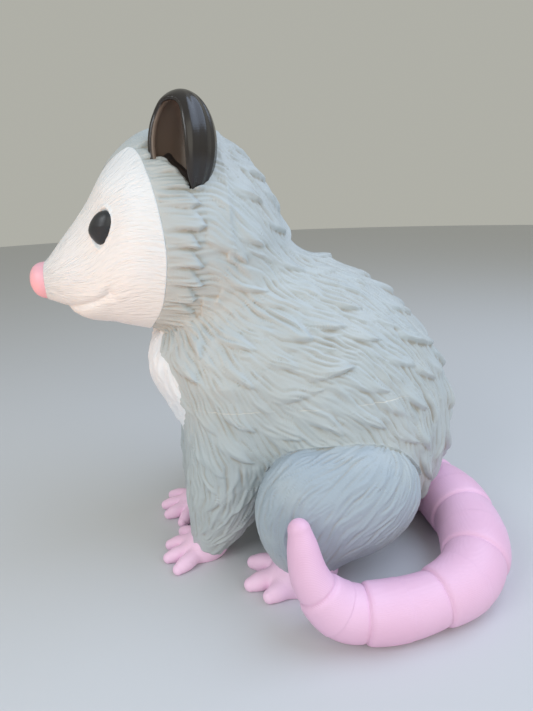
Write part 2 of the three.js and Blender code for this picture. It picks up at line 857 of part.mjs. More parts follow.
function addPiece(name, solid, finish) {
  const mesh = solid.getMesh();
  const geometry = new THREE.BufferGeometry();
  const count = mesh.numProp;
  const positions = new Float32Array(mesh.numVert * 3);
  for (let i = 0; i < mesh.numVert; i++) {
    positions.set(mesh.vertProperties.subarray(i * count, i * count + 3), i * 3);
  }
  geometry.setAttribute("position", new THREE.BufferAttribute(positions, 3));
  geometry.setIndex(new THREE.BufferAttribute(new Uint32Array(mesh.triVerts), 1));
  geometry.translate(...originShift);
  geometry.computeVertexNormals();
  const { color, roughness } = finishes[finish];
  const material = new THREE.MeshStandardMaterial({ color, roughness, metalness: 0 });
  material.name = finish;
  const piece = new THREE.Mesh(geometry, material);
  piece.name = name;
  root.add(piece);
}

addPiece("nose", noseSolid, "pink");
addPiece("face", faceSolid, "white");
addPiece("head", headSolid, "grey");
addPiece("neck", neckSolid, "grey");
addPiece("chest", bibPlate, "white");
addPiece("torso_upper", upperTrunk, "grey");
addPiece("torso_lower", lowerTrunk, "grey");
for (const [label, side] of [
  ["left", 1],
  ["right", -1],
]) {
  addPiece("eye_" + label, eyeShape(0, side), "black");
  addPiece("ear_" + label, largest(earShape(side).subtract(headGrown).subtract(trunkGrown)), "black");
  addPiece("foreleg_" + label, forelegSolid(side), "grey");
  addPiece("forefoot_" + label, forefootSolid(side), "lilac");
  addPiece("haunch_" + label, haunchSolid(side), "grey");
  addPiece("hindfoot_" + label, hindfootSolid(side), "lilac");
}
for (let index = 0; index + 1 < tailCreases.length; index++) {
  addPiece("tail_" + (index + 1), tailLength(index), "lilac");
}

export default root;
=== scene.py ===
# Looks of a sitting opossum statue, printed in plastic: carved grey coat, white face and
# bib, pink nose, lilac feet and tail, black ears and eyes. Lengths are in millimetres in
# the statue's own axes (it faces -Y, its left is +X) until a mesh is made.
import math

import bpy
import numpy as np
from mathutils import Matrix, Vector
from mathutils.kdtree import KDTree


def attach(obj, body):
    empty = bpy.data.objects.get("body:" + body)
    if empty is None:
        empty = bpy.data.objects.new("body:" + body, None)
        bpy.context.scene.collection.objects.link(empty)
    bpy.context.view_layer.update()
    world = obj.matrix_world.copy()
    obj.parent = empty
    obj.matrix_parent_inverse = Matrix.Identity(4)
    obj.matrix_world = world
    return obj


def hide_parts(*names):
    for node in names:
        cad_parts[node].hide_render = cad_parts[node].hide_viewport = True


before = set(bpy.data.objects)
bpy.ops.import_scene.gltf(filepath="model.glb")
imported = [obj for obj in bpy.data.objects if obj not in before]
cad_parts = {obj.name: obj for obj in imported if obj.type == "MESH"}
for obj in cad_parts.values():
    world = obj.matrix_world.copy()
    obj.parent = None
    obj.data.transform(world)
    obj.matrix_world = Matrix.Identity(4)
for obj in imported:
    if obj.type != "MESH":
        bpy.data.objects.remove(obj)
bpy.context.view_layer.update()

MM = 0.001
ORIGIN_SHIFT = np.array([-28.85, -111.6, 0.0])
SIDES = (("left", 1), ("right", -1))
rng = np.random.default_rng(41)

# ---------------------------------------------------------------- sizes of the body
# Egg-shaped masses: centre, half sizes, lean in the side view in degrees
RUMP = ((0, 177, 105), (100, 114, 129), -3.4)
BARREL = ((0, 134.5, 157), (90, 111.5, 116), 32.7)
BREAST = ((0, 78.5, 178), (74, 74, 49.5), -5)
NECK = ((0, 75, 285), (62, 56, 91.5), 16.5)
HAUNCH = ((95, 153, 71), (37, 70, 52.5), 4)
SHANK = ((97, 117.5, 60), (27.5, 33, 57), 4.4)
# How softly the masses run into each other
TRUNK_BLEND, HAUNCH_BLEND = 30, 20
LEG_FILLET, HAUNCH_FILLET, HEAD_FILLET, EAR_FILLET = 22, 5, 9, 2.0
# How far the bare skin lies under the outline that the locks reach
COAT_DEPTH = {"coat": 2.3, "leg": 1.4, "haunch": 1.0, "ruff": 3.6}

# Front leg: z, centre x, centre y, half width, half depth
LEG_RINGS = np.array([
    (1, 37, 41, 18, 12), (12, 37, 45, 21, 18), (28, 39, 53.5, 25, 26), (50, 42, 58, 29, 31),
    (80, 45, 61, 32, 33.5), (120, 47, 67, 33, 35), (165, 45, 76, 28, 30)], float)
LEG_TOP = 168
CUFF_FRONT, CUFF_BACK = (26, 17), (53, 4)

# Head: y, top, underside, half width
HEAD_RINGS = np.array([
    (-83, 268, 254, 7), (-78, 272, 248, 12), (-70, 274.6, 244.2, 14.9), (-55, 291, 237, 23),
    (-32, 318, 225.5, 38), (-13, 346, 219, 51), (5, 364, 214, 60.5), (24, 374, 209, 66),
    (44, 377, 205, 68.5), (62, 374, 205, 67), (80, 368, 210, 60)], float)
# Front and back of the coat on the head, and the lowest level of the head
COAT_FRONT, HEAD_BACK, HEAD_LOW = -20, 74, 196
# Edge of the white face: angle up from the side, y
FACE_EDGE = np.array([
    (-90, 6), (-65, 13), (-42, 22), (-12, 27.5), (5, 27), (19.6, 25), (29.6, 23.1), (38.5, 21),
    (46, 18.7), (54, 16.3), (60.5, 13.5), (66, 10.5), (70, 6.5), (73, 0), (77, -6.2),
    (83, -10.6), (90, -12.2), (97, -10.6)], float)
HEAD_AXIS = 290
NOSE_BASE = -70
# Where the ruff ends: y and z of its low end, and y gained for each mm up
RUFF_LOW, RUFF_LEAN = (45, 205), 0.12
SEAM_HEIGHT = 156
# Feet: palm centre and half sizes, toe radius at root and tip, toes as tip x, y, root x, y,
# the ankle's mass, and the box that holds it all
FEET = {
    "forefoot": ((37, 35, 6), (19, 18, 14), (7.1, 5.0),
                 ((64.5, 9, 50, 31), (45, 0.5, 41, 28), (25, 3, 30, 28), (5, 17.5, 24, 33)),
                 ((38, 46, 16), (19, 17, 20), 0), (-6, -16, -5), (82, 72, 42)),
    "hindfoot": ((99, 111, 6), (21, 26, 18), (8.3, 5.9),
                 ((69, 75, 84, 101), (98.5, 67, 97, 98), (117, 80, 109, 108),
                  (126, 120, 112, 119)),
                 ((98, 122, 14), (24, 26, 22), 0), (60, 48, -5), (146, 156, 42))}
EYE_AT, EYE_DEEP, EYE_SWING = (40, -17, 301.5), 8.0, -38
# Outline of the eye in its own plane: turn from its back upwards, half length
EYE_EDGE = np.array([
    (-20, 8.6), (-4.7, 8.6), (19.3, 9.96), (40, 12.0), (52.4, 13.7), (68.3, 14.3),
    (85.5, 13.2), (123.2, 9.35), (169.8, 8.5), (197.4, 10.0), (238.2, 12.3), (264, 14.3),
    (298, 9.2), (330, 8.4), (355.3, 8.6), (379.3, 9.96)], float)
EAR_AT, EAR_HALF = np.array([45.4, 47.6, 356.4]), np.array([25.2, 25.2, 37.6])
EAR_LEAN, EAR_TURN, EAR_WALL = 6.6, -12, 4.2
# Rim of the ear's opening and the top of the fur pad before it, both in half sizes: up, back
EAR_RIM = np.array([
    (-1.0, 0.34), (-0.82, 0.31), (-0.64, 0.28), (-0.42, 0.27), (-0.15, 0.28), (0.14, 0.28),
    (0.34, 0.25), (0.6, 0.2), (0.83, 0.14), (1.0, 0.1)], float)
FUR_PAD = np.array([
    (-1.2, -0.1), (-0.96, -0.12), (-0.7, -0.1), (-0.5, -0.16), (-0.36, -0.3), (-0.18, -0.42),
    (0.03, -0.6), (0.17, -0.9), (0.3, -1.15)], float)
# Folds in the ear's hollow: turn from its outer side, height, width
EAR_FOLDS = ((0.42, 0.9, 0.11), (0.66, -0.35, 0.08), (0.88, 0.5, 0.08), (1.1, -0.3, 0.07),
             (1.28, 0.4, 0.07))
# Tail: centre line and radius; share of the length at each crease
TAIL_LINE = np.array([
    (-8, 240, 29, 30), (14, 267, 27.5, 28.5), (52, 277, 28, 29), (97, 272.5, 27, 28),
    (135, 256, 25.5, 26.5), (157, 232, 23, 24), (167, 196, 20.5, 21.5), (168.5, 158, 20.5, 21.5),
    (164.5, 129, 25.5, 20.3), (159, 108, 51, 15), (148, 102, 88, 8.6)], float)
TAIL_CREASES = (0.15, 0.29, 0.449, 0.6, 0.758, 0.873)
# White bib: height, half width
BIB = np.array([
    (112, 8), (122, 27), (133, 40.5), (144, 48.7), (162, 56), (179, 54), (192, 45), (204, 25),
    (214, 18), (230, 15), (242, 6)], float)


def rad(degrees):
    return degrees * math.pi / 180


def unit(v):
    return v / np.maximum(np.linalg.norm(v, axis=-1, keepdims=True), 1e-9)


def to_left(p):
    """Points with those of the right side mirrored onto the left."""
    return np.stack([np.abs(p[:, 0]), p[:, 1], p[:, 2]], 1)


def ease(low, high, x):
    t = np.clip((x - low) / (high - low), 0, 1)
    return t * t * (3 - 2 * t)


def smooth_rows(rows, key):
    """Every later column of the rows at each key, on a smooth line through the first column."""
    key = np.asarray(key, float)
    x, value = rows[:, 0], rows[:, 1:]
    i = np.clip(np.searchsorted(x, key, side="right") - 1, 0, len(x) - 2)
    before, after = np.maximum(i - 1, 0), np.minimum(i + 2, len(x) - 1)
    run = x[i + 1] - x[i]
    t = np.clip((key - x[i]) / run, 0, 1)[..., None]
    slope_a = (value[i + 1] - value[before]) / (x[i + 1] - x[before])[..., None] * run[..., None]
    slope_b = (value[after] - value[i]) / (x[after] - x[i])[..., None] * run[..., None]
    t2, t3 = t * t, t * t * t
    made = ((2 * t3 - 3 * t2 + 1) * value[i] + (t3 - 2 * t2 + t) * slope_a
            + (3 * t2 - 2 * t3) * value[i + 1] + (t3 - t2) * slope_b)
    return [made[..., k] for k in range(made.shape[-1])]


def ruff_end(z):
    return RUFF_LOW[0] + RUFF_LEAN * (z - RUFF_LOW[1])


# ---------------------------------------------------------------- distance fields
def join(a, b, width):
    h = np.clip(0.5 + 0.5 * (b - a) / width, 0, 1)
    return b * (1 - h) + a * h - width * h * (1 - h)


def egg(p, mass):
    """Roughly the distance from points to an egg-shaped mass."""
    at, half, lean = mass
    c, s = math.cos(rad(lean)), math.sin(rad(lean))
    x = p[:, 0] - at[0]
    dy, dz = p[:, 1] - at[1], p[:, 2] - at[2]
    y, z = c * dy + s * dz, c * dz - s * dy
    x, y, z = x / half[0], y / half[1], z / half[2]
    near = np.sqrt(x * x + y * y + z * z)
    steep = np.sqrt((x / half[0]) ** 2 + (y / half[1]) ** 2 + (z / half[2]) ** 2)
    return near * (near - 1) / (steep + 1e-9)


def ring_distance(dx, dz, half_x, half_z):
    near = np.hypot(dx / half_x, dz / half_z)
    steep = np.hypot(dx / half_x ** 2, dz / half_z ** 2)
    return near * (near - 1) / (steep + 1e-9)


def trunk_field(p):
    d = egg(p, RUMP)
    for mass in (BARREL, BREAST, NECK):
        d = join(d, egg(p, mass), TRUNK_BLEND)
    return d


def haunch_field(p):
    return join(egg(p, HAUNCH), egg(p, SHANK), HAUNCH_BLEND)


def leg_field(p):
    """The leg's rings, cut off along the cuff above the foot."""
    cx, cy, hx, hy = smooth_rows(LEG_RINGS, p[:, 2])
    d = ring_distance(p[:, 0] - cx, p[:, 1] - cy, hx, hy)
    run = np.array([CUFF_BACK[0] - CUFF_FRONT[0], CUFF_BACK[1] - CUFF_FRONT[1]], float)
    run /= np.hypot(*run)
    below = -((p[:, 1] - CUFF_FRONT[0]) * -run[1] + (p[:, 2] - CUFF_FRONT[1]) * run[0])
    return np.maximum(d, np.maximum(below, p[:, 2] - LEG_TOP))


def head_field(p):
    top, low, wide = smooth_rows(HEAD_RINGS, p[:, 1])
    return ring_distance(p[:, 0], p[:, 2] - (top + low) / 2, wide, (top - low) / 2)


def ear_axes():
    """The ear's own directions as columns: back, out, up."""
    turn, lean = rad(EAR_TURN), rad(EAR_LEAN)
    out = np.array([math.cos(turn), math.sin(turn), 0.0])
    back = np.array([-math.sin(turn), math.cos(turn), 0.0])
    up = np.array([-0.64 * math.sin(lean), -0.77 * math.sin(lean), math.cos(lean)])
    return np.stack([back, out, up], 1)


def ear_place(p):
    """Places on the left in the ear's half sizes (back, out, up), and distance to its egg."""
    q = (p - EAR_AT) @ ear_axes() / EAR_HALF
    near = np.linalg.norm(q, axis=1)
    steep = np.linalg.norm(q / EAR_HALF, axis=1)
    return q, near * (near - 1) / (steep + 1e-9)


def ear_room(p):
    """Distance to the room that the coat leaves for the ear, above the fur pad before it."""
    far, gap, soft = 20.0, 1.6, 5.0
    out = np.full(len(p), far)
    near = (p[:, 2] > 305) & (p[:, 1] > 8)
    q, away = ear_place(p[near])
    pad, = smooth_rows(FUR_PAD, q[:, 0])
    out[near] = np.minimum(-join(-(away + gap), -(pad - q[:, 2]) * EAR_HALF[2], soft), far)
    return out


def coat_parts(p):
    """Fields of the trunk with its front legs, of the head and of the haunches, on both sides."""
    q = to_left(p)
    body = trunk_field(q) + COAT_DEPTH["coat"]
    body = join(body, leg_field(q) + COAT_DEPTH["leg"], LEG_FILLET)
    ends = np.maximum(q[:, 1] - HEAD_BACK, COAT_FRONT - q[:, 1])
    head = np.maximum(head_field(q) + COAT_DEPTH["ruff"], ends)
    room = ear_room(q)
    body, head = -join(-body, room, EAR_FILLET), -join(-head, room, EAR_FILLET)
    return body, head, haunch_field(q) + COAT_DEPTH["haunch"]


def coat_field(p):
    body, head, haunch = coat_parts(p)
    whole = join(join(body, head, HEAD_FILLET), haunch, HAUNCH_FILLET)
    return np.maximum(whole, 0.3 - p[:, 2])


def slope(field, p, value, step=0.4):
    out = np.empty_like(p)
    for k in range(3):
        q = p.copy()
        q[:, k] += step
        out[:, k] = field(q) - value
    return unit(out)


def settle(field, p, times):
    """Moves points along the field's slope until they lie on its surface."""
    for _ in range(times):
        d = field(p)
        p = p - slope(field, p, d) * np.clip(d, -6, 6)[:, None]
    return p


# ---------------------------------------------------------------- skins from fields
def net(field, low, high, cell):
    """Quads round a field's surface, one point in each cell that it crosses."""
    axes = [np.arange(a, b + cell, cell) for a, b in zip(low, high)]
    grid = np.stack(np.meshgrid(*axes, indexing="ij"), -1)
    inside = (field(grid.reshape(-1, 3)) < 0).reshape(grid.shape[:3])
    n = np.array(inside.shape) - 1
    count = sum(inside[i:n[0] + i, j:n[1] + j, k:n[2] + k].astype(int)
                for i in (0, 1) for j in (0, 1) for k in (0, 1))
    mixed = (count > 0) & (count < 8)
    index = np.full(mixed.shape, -1)
    index[mixed] = np.arange(mixed.sum())
    points = grid[:-1, :-1, :-1][mixed] + cell / 2
    quads = []
    for axis in range(3):
        m, cells = np.moveaxis(inside, axis, 0), np.moveaxis(index, axis, 0)
        a, b = m[:-1, 1:-1, 1:-1], m[1:, 1:-1, 1:-1]
        i, j, k = np.nonzero(a != b)
        corners = ((j, k), (j + 1, k), (j + 1, k + 1), (j, k + 1))
        quad = np.stack([cells[i, row, column] for row, column in corners], 1)
        turn = a[i, j, k] == (axis == 1)
        quad[turn] = quad[turn][:, ::-1]
        quads.append(quad)
    return points, np.concatenate(quads)


def edges_of(quads, count):
    """The edges, and the four that go round each quad."""
    pairs = np.concatenate([quads[:, [i, (i + 1) % 4]] for i in range(4)])
    pairs = np.sort(pairs, axis=1)
    keys, back = np.unique(pairs[:, 0] * count + pairs[:, 1], return_inverse=True)
    return np.stack([keys // count, keys % count], 1), back.reshape(4, -1).T


def relax(points, edges, share=0.5):
    """Moves each point towards the middle of its neighbours."""
    a, b = edges[:, 0], edges[:, 1]
    count = np.bincount(np.concatenate([a, b]), minlength=len(points))
    moved = np.empty_like(points)
    for k in range(3):
        weight = np.concatenate([points[b, k], points[a, k]])
        moved[:, k] = np.bincount(np.concatenate([a, b]), weight, len(points)) / count
    return points + share * (moved - points)


def halve(points, quads):
    """Splits each quad into four."""
    edges, side = edges_of(quads, len(points))
    n, e = len(points), len(edges)
    made = np.concatenate([points, points[edges].mean(1), points[quads].mean(1)])
    centre = np.arange(len(quads)) + n + e
    side = side + n
    parts = [np.stack([quads[:, i], side[:, i], centre, side[:, i - 1]], 1) for i in range(4)]
    return made, np.concatenate(parts)


def skin(field, low, high, cell, levels):
    """A net drawn onto the field's surface and made finer level by level."""
    points, quads = net(field, low, high, cell)
    for level in range(levels + 1):
        if level:
            points, quads = halve(points, quads)
        edges, _ = edges_of(quads, len(points))
        for _ in range(4 if level < 2 else 1):
            points = settle(field, relax(points, edges), 1)
        points = settle(field, points, 2 if level < 2 else 1)
    return points, quads


def point_normals(points, quads):
    corner = points[quads]
    face = np.cross(corner[:, 2] - corner[:, 0], corner[:, 3] - corner[:, 1])
    sums = [np.bincount(quads.ravel(), np.repeat(face[:, k], 4), len(points)) for k in range(3)]
    return unit(np.stack(sums, 1))


# ---------------------------------------------------------------- meshes
def linked(name, data, material=None):
    """A new object in the scene."""
    if material:
        data.materials.append(material)
    obj = bpy.data.objects.new(name, data)
    bpy.context.scene.collection.objects.link(obj)
    return obj


def give(mesh, key, value):
    """Gives a mesh's points a number each, or a place each."""
    kind, field = ("FLOAT_VECTOR", "vector") if value.ndim == 2 else ("FLOAT", "value")
    made = mesh.attributes.new(key, kind, "POINT")
    made.data.foreach_set(field, value.astype(np.float32).ravel())


def made_object(name, points, faces, material, normals=None, attributes=None, flat=None):
    """An object from points in millimetres and lists of faces, each of one size. flat holds the
    corners' places on the map that a bake uses."""
    mesh = bpy.data.meshes.new(name)
    corners = np.concatenate([some.ravel() for some in faces])
    sizes = np.concatenate([np.full(len(some), some.shape[1]) for some in faces])
    mesh.vertices.add(len(points))
    mesh.vertices.foreach_set("co", ((points + ORIGIN_SHIFT) * MM).astype(np.float32).ravel())
    mesh.loops.add(len(corners))
    mesh.loops.foreach_set("vertex_index", corners.astype(np.int32))
    mesh.polygons.add(len(sizes))
    mesh.polygons.foreach_set("loop_start", (np.cumsum(sizes) - sizes).astype(np.int32))
    mesh.update(calc_edges=True)
    for key, value in (attributes or {}).items():
        give(mesh, key, value)
    mesh.polygons.foreach_set("use_smooth", np.ones(len(sizes), bool))
    if flat is not None:
        low, high = flat.min((0, 1)), flat.max((0, 1))
        filled = 0.005 + 0.99 * (flat - low) / (high - low)
        mesh.uv_layers.new(name="OFBake").data.foreach_set("uv", filled.astype(np.float32).ravel())
    if normals is not None:
        mesh.normals_split_custom_set_from_vertices(normals.astype(np.float32))
    return linked(name, mesh, material)


def solid_of(name, rings, material, attributes=None):
    """A closed mesh from equal rings of points that turn left round the way they go. A point in
    the middle closes each end."""
    rows, sides = len(rings), len(rings[0])
    flat = np.concatenate(list(rings) + [rings[0].mean(0)[None], rings[-1].mean(0)[None]])
    i, j = np.meshgrid(np.arange(rows - 1), np.arange(sides), indexing="ij")
    a, b = i * sides + j, i * sides + (j + 1) % sides
    quads = np.stack([a, b, b + sides, a + sides], -1).reshape(-1, 4)
    j, last, pole = np.arange(sides), (rows - 1) * sides, rows * sides
    after, middle = (j + 1) % sides, np.full(sides, pole)
    caps = [np.stack([middle, after, j], 1), np.stack([middle + 1, last + j, last + after], 1)]
    closed = {key: np.concatenate([value, value[:1], value[-1:]])
              for key, value in (attributes or {}).items()}
    return made_object(name, flat, [quads] + caps, material, attributes=closed)


def finished(obj, slot, *nodes):
    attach(obj, "root")
    if nodes:
        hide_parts(*nodes)
    return obj


def on_side(side, own, faces):
    """A left skin as it is, or mirrored for the right."""
    return (own, faces) if side > 0 else (own * [-1, 1, 1], faces[:, ::-1])


# ---------------------------------------------------------------- materials
def feed(tree, socket, value):
    """Links a socket, or sets a plain value."""
    if isinstance(value, bpy.types.NodeSocket):
        tree.links.new(value, socket)
    else:
        socket.default_value = value


def node(tree, kind, inputs=None, **settings):
    """A new node, its inputs fed by name or number."""
    made = tree.nodes.new(kind)
    for key, value in settings.items():
        setattr(made, key, value)
    for key, value in (inputs or {}).items():
        feed(tree, made.inputs[key], value)
    return made


def maths(tree, operation, *values):
    return node(tree, "ShaderNodeMath", dict(enumerate(values)), operation=operation).outputs[0]


def times(tree, a, b):
    return maths(tree, "MULTIPLY", a, b)


def mixed(tree, share, a, b):
    return node(tree, "ShaderNodeMix", {0: share, 6: a, 7: b}, data_type="RGBA").outputs[2]


def span(tree, value, low, high, most=1.0):
    """0 at the low value, the most at the high one, on a soft ramp."""
    ends = {0: value, 1: low, 2: high, 3: 0.0, 4: most}
    return node(tree, "ShaderNodeMapRange", ends, interpolation_type="SMOOTHSTEP").outputs[0]


def noise(tree, vector, scale, detail=2.0):
    sizes = {"Vector": vector, "Scale": scale, "Detail": detail}
    return node(tree, "ShaderNodeTexNoise", sizes).outputs["Fac"]


def attribute(tree, name):
    return node(tree, "ShaderNodeAttribute", attribute_name=name).outputs


def group(name, inputs, output, build):
    """A shader node group with named inputs and one output, filled in by build(tree, inputs)."""
    tree = bpy.data.node_groups.new(name, "ShaderNodeTree")
    for label, kind, value in inputs:
        socket = tree.interface.new_socket(label, in_out="INPUT", socket_type="NodeSocket" + kind)
        if value is not None:
            socket.default_value = value
    label, kind = output
    tree.interface.new_socket(label, in_out="OUTPUT", socket_type="NodeSocket" + kind)
    source, sink = node(tree, "NodeGroupInput"), node(tree, "NodeGroupOutput")
    feed(tree, sink.inputs[0], build(tree, source.outputs))
    return tree


def use(tree, shared, **values):
    return node(tree, "ShaderNodeGroup", values, node_tree=shared).outputs[0]


def build_layers(tree, put):
    """Printed layers: fine level lines with a slow waver, as a height."""
    lines = {"Vector": put["Position"], "Scale": put["Lines"], "Distortion": 0.4}
    wave = node(tree, "ShaderNodeTexWave", lines, wave_type="BANDS", bands_direction="Z",
                wave_profile="SIN").outputs["Fac"]
    return maths(tree, "ADD", wave, times(tree, noise(tree, put["Position"], 900.0), 0.5))


def build_strands(tree, put):
    """Fine strands that follow the face's lie: along it and across it, as a height."""
    lie = node(tree, "ShaderNodeSeparateXYZ", {0: put["Lie"]}).outputs
    heights = []
    for across, along, share in ((0.5, 0.085, 1.0), (1.1, 0.13, 0.5)):
        drawn = {k: times(tree, lie[k], size) for k, size in enumerate((along, across, 7.0))}
        vector = node(tree, "ShaderNodeCombineXYZ", drawn).outputs[0]
        heights.append(times(tree, noise(tree, vector, 1.0, 1.5), share))
    return maths(tree, "ADD", *heights)


def build_tint(tree, put):
    """Slow, faint changes of a colour over the surface."""
    share = span(tree, noise(tree, put["Position"], 14.0, 3.0), 0.35, 0.68)
    return mixed(tree, share, put["Colour"], put["Other"])


LAYERS = group("print_layers", [("Position", "Vector", None), ("Lines", "Float", 300.0)],
               ("Height", "Float"), build_layers)
STRANDS = group("carved_strands", [("Lie", "Vector", None)], ("Height", "Float"), build_strands)
TINT = group("colour_drift", [("Position", "Vector", None), ("Colour", "Color", (1, 1, 1, 1)),
                              ("Other", "Color", (1, 1, 1, 1))], ("Colour", "Color"), build_tint)


def colour(r, g, b):
    return (r, g, b, 1.0)


GREY, GREY_OTHER = colour(0.46, 0.51, 0.53), colour(0.49, 0.525, 0.53)
# Painted shade: the haunches' grey is the coat's grey made darker and bluer
SHADED_GREY_BLUE = colour(0.38, 0.445, 0.505)
WHITE = colour(0.76, 0.8, 0.85)
GLUE = colour(0.72, 0.7, 0.64)
# Colours that an attribute brings in: its name, low and high value, most share, colour
# Painted shade: a warm dark brown laid into the creases and under the locks' lower edges, where
# shade falls
PAINTED_CREASE_SHADE = ("painted_light_and_shade", 0.0, 1.0, 0.65, colour(0.36, 0.31, 0.24))
# Painted light: a lighter brown laid inside the black ears' hollows, standing in for the light that
# reaches into them
PAINTED_LIGHT_IN_EAR = ("painted_light_and_shade", 0.0, 1.0, 0.65, colour(0.36, 0.27, 0.22))
UNDER_EAR = ("ear_room", 0.3, 0.7, 1.0, colour(0.05, 0.045, 0.045))
ON_BIB = ("bib", -0.25, 0.25, 1.0, WHITE)


def glued_seam(tree, where, tint, height):
    """A thin, patchy line of glue round the body, which fades out towards the back."""
    level = node(tree, "ShaderNodeSeparateXYZ", {0: where}).outputs
    off = maths(tree, "ABSOLUTE", maths(tree, "SUBTRACT", level[2], SEAM_HEIGHT * MM))
    line = span(tree, off, 0.0007, 0.0002)
    line = times(tree, line, span(tree, noise(tree, where, 30.0), 0.4, 0.62))
    line = times(tree, line, span(tree, level[1], 0.11, 0.08))
    tint = mixed(tree, times(tree, line, 0.7), tint, GLUE)
    return tint, maths(tree, "SUBTRACT", height, times(tree, line, 0.0002))


def plastic(name, base, other, rough, *own_and_painted_patches, strands=0.0, layers=0.00003, seam=False):
    """Printed plastic. strands and layers are the heights, in metres, of the carved strands and of
    the printed layers.
    Each patch mixes in a colour where an attribute says: the plastic's own colours, painted shade
    and painted light."""
    made = bpy.data.materials.new(name)
    made.use_nodes = True
    tree = made.node_tree
    where = node(tree, "ShaderNodeTexCoord").outputs["Object"]
    tint = use(tree, TINT, Position=where, Colour=base, Other=other)
    for key, low, high, most, patch_colour in own_and_painted_patches:
        share = span(tree, attribute(tree, key)["Fac"], low, high, most)
        tint = mixed(tree, share, tint, patch_colour)
    height = times(tree, use(tree, LAYERS, Position=where), layers)
    if strands:
        carved = use(tree, STRANDS, Lie=attribute(tree, "lie")["Vector"])
        height = maths(tree, "ADD", height, times(tree, carved, strands))
    if seam:
        tint, height = glued_seam(tree, where, tint, height)
    bump = node(tree, "ShaderNodeBump", {"Height": height, "Distance": 1.0, "Strength": 1.0})
    shader = tree.nodes["Principled BSDF"]
    feed(tree, shader.inputs["Base Color"], tint)
    feed(tree, shader.inputs["Normal"], bump.outputs[0])
    shader.inputs["Roughness"].default_value = rough
    made.diffuse_color = base
    return made


# Painted shade: the coat's materials darken its creases with a warm brown
grey_coat = plastic("grey_coat", GREY, GREY_OTHER, 0.5, PAINTED_CREASE_SHADE, UNDER_EAR, seam=True)
# Painted shade: the haunches' coat is darker and bluer than the rest of the coat
shaded_grey_haunch = plastic("shaded_grey_haunch", SHADED_GREY_BLUE, GREY, 0.5, PAINTED_CREASE_SHADE)
bib_coat = plastic("bib_coat", GREY, GREY_OTHER, 0.5, PAINTED_CREASE_SHADE, ON_BIB)
white_face = plastic("white_face", WHITE, colour(0.78, 0.81, 0.84), 0.45, strands=0.0012)
lilac = plastic("lilac_print", colour(0.84, 0.51, 0.70), colour(0.87, 0.55, 0.75), 0.46,
                layers=0.00007)
# Painted light: the feet are the tail's lilac painted lighter, to make up for the shade between the
# toes
lightened_lilac_feet = plastic("lightened_lilac_feet", colour(0.96, 0.63, 0.84), colour(0.98, 0.67, 0.87), 0.5,
                     layers=0.00005)
pink = plastic("pink_print", colour(0.86, 0.40, 0.46), colour(0.86, 0.46, 0.54), 0.38)
# Painted light: the ears' inner hollows are painted a lighter brown
black = plastic("black_gloss", colour(0.016, 0.016, 0.018), colour(0.03, 0.024, 0.02), 0.22,
                PAINTED_LIGHT_IN_EAR, layers=0.00001)
eye_black = plastic("eye_gloss", colour(0.02, 0.022, 0.026), colour(0.026, 0.028, 0.032), 0.36)

# ---------------------------------------------------------------- lie of the coat
# Where the coat lies how, on the side: y, z, degrees that it falls below the way back
COAT_LIE = np.array([
    (97, 324, 54), (58, 308, 20), (78, 306, 34), (96, 306, 54), (119, 305, 60), (56, 272, 9),
    (74, 271, 38), (93, 270, 52), (113, 268, 54), (136, 265, 32), (54, 236, 10), (72, 235, 52),
    (90, 234, 51), (128, 232, 46), (168, 228, 40), (202, 240, 36), (220, 219, 56),
    (33, 214, 40), (51, 216, 54), (88, 217, 46), (106, 216, 38), (144, 213, 37),
    (186, 208, 54), (243, 196, 60), (31, 198, 63), (49, 200, 66), (67, 200, 52),
    (104, 199, 27), (122, 197, 9), (141, 196, 5), (161, 194, 25), (182, 191, 50),
    (233, 181, 58), (29, 179, 60), (65, 183, 62), (83, 182, 61), (121, 179, 14),
    (139, 178, 34), (159, 176, 45), (202, 169, 50), (228, 163, 70), (266, 150, 90),
    (64, 163, 66), (101, 161, 64), (119, 160, 26), (138, 159, 32), (178, 155, 46),
    (226, 144, 72), (260, 132, 100), (44, 139, 74), (63, 142, 64), (100, 140, 56),
    (137, 139, 53), (177, 135, 58), (199, 131, 65), (225, 124, 74), (259, 110, 98),
    (43, 119, 86), (61, 121, 66), (81, 119, 64), (225, 100, 76), (41, 96, 84), (60, 98, 70),
    (80, 94, 98), (39, 72, 95), (59, 74, 128), (80, 66, 106), (38, 45, 112), (58, 46, 126),
    (30, 60, 95)], float)
HAUNCH_LIE = np.array([
    (117, 121, 168), (154, 121, 160), (174, 118, 128), (198, 112, 100), (95, 107, 124),
    (112, 111, 143), (130, 110, 156), (149, 108, 150), (168, 105, 140), (190, 100, 122),
    (90, 93, 104), (109, 95, 130), (127, 94, 144), (146, 92, 145), (166, 89, 152),
    (187, 83, 136), (91, 74, 84), (108, 77, 92), (126, 76, 112), (145, 73, 146),
    (165, 69, 148), (188, 61, 138), (91, 50, 74), (107, 55, 80), (126, 53, 92),
    (146, 48, 150), (170, 39, 142)], float)


def lie_of(table, p, n, reach=17.0):
    """Direction along the skin in which the coat lies at points with these normals."""
    d2 = (p[:, 1, None] - table[:, 0]) ** 2 + (p[:, 2, None] - table[:, 1]) ** 2
    d2 = d2 - d2.min(1, keepdims=True)
    weight = np.exp(-d2 / (2 * reach * reach))
    angle = np.radians(table[:, 2])
    way = np.stack([np.zeros(len(p)), weight @ np.cos(angle), -(weight @ np.sin(angle))], 1)
    return unit(way - n * (way * n).sum(1, keepdims=True))


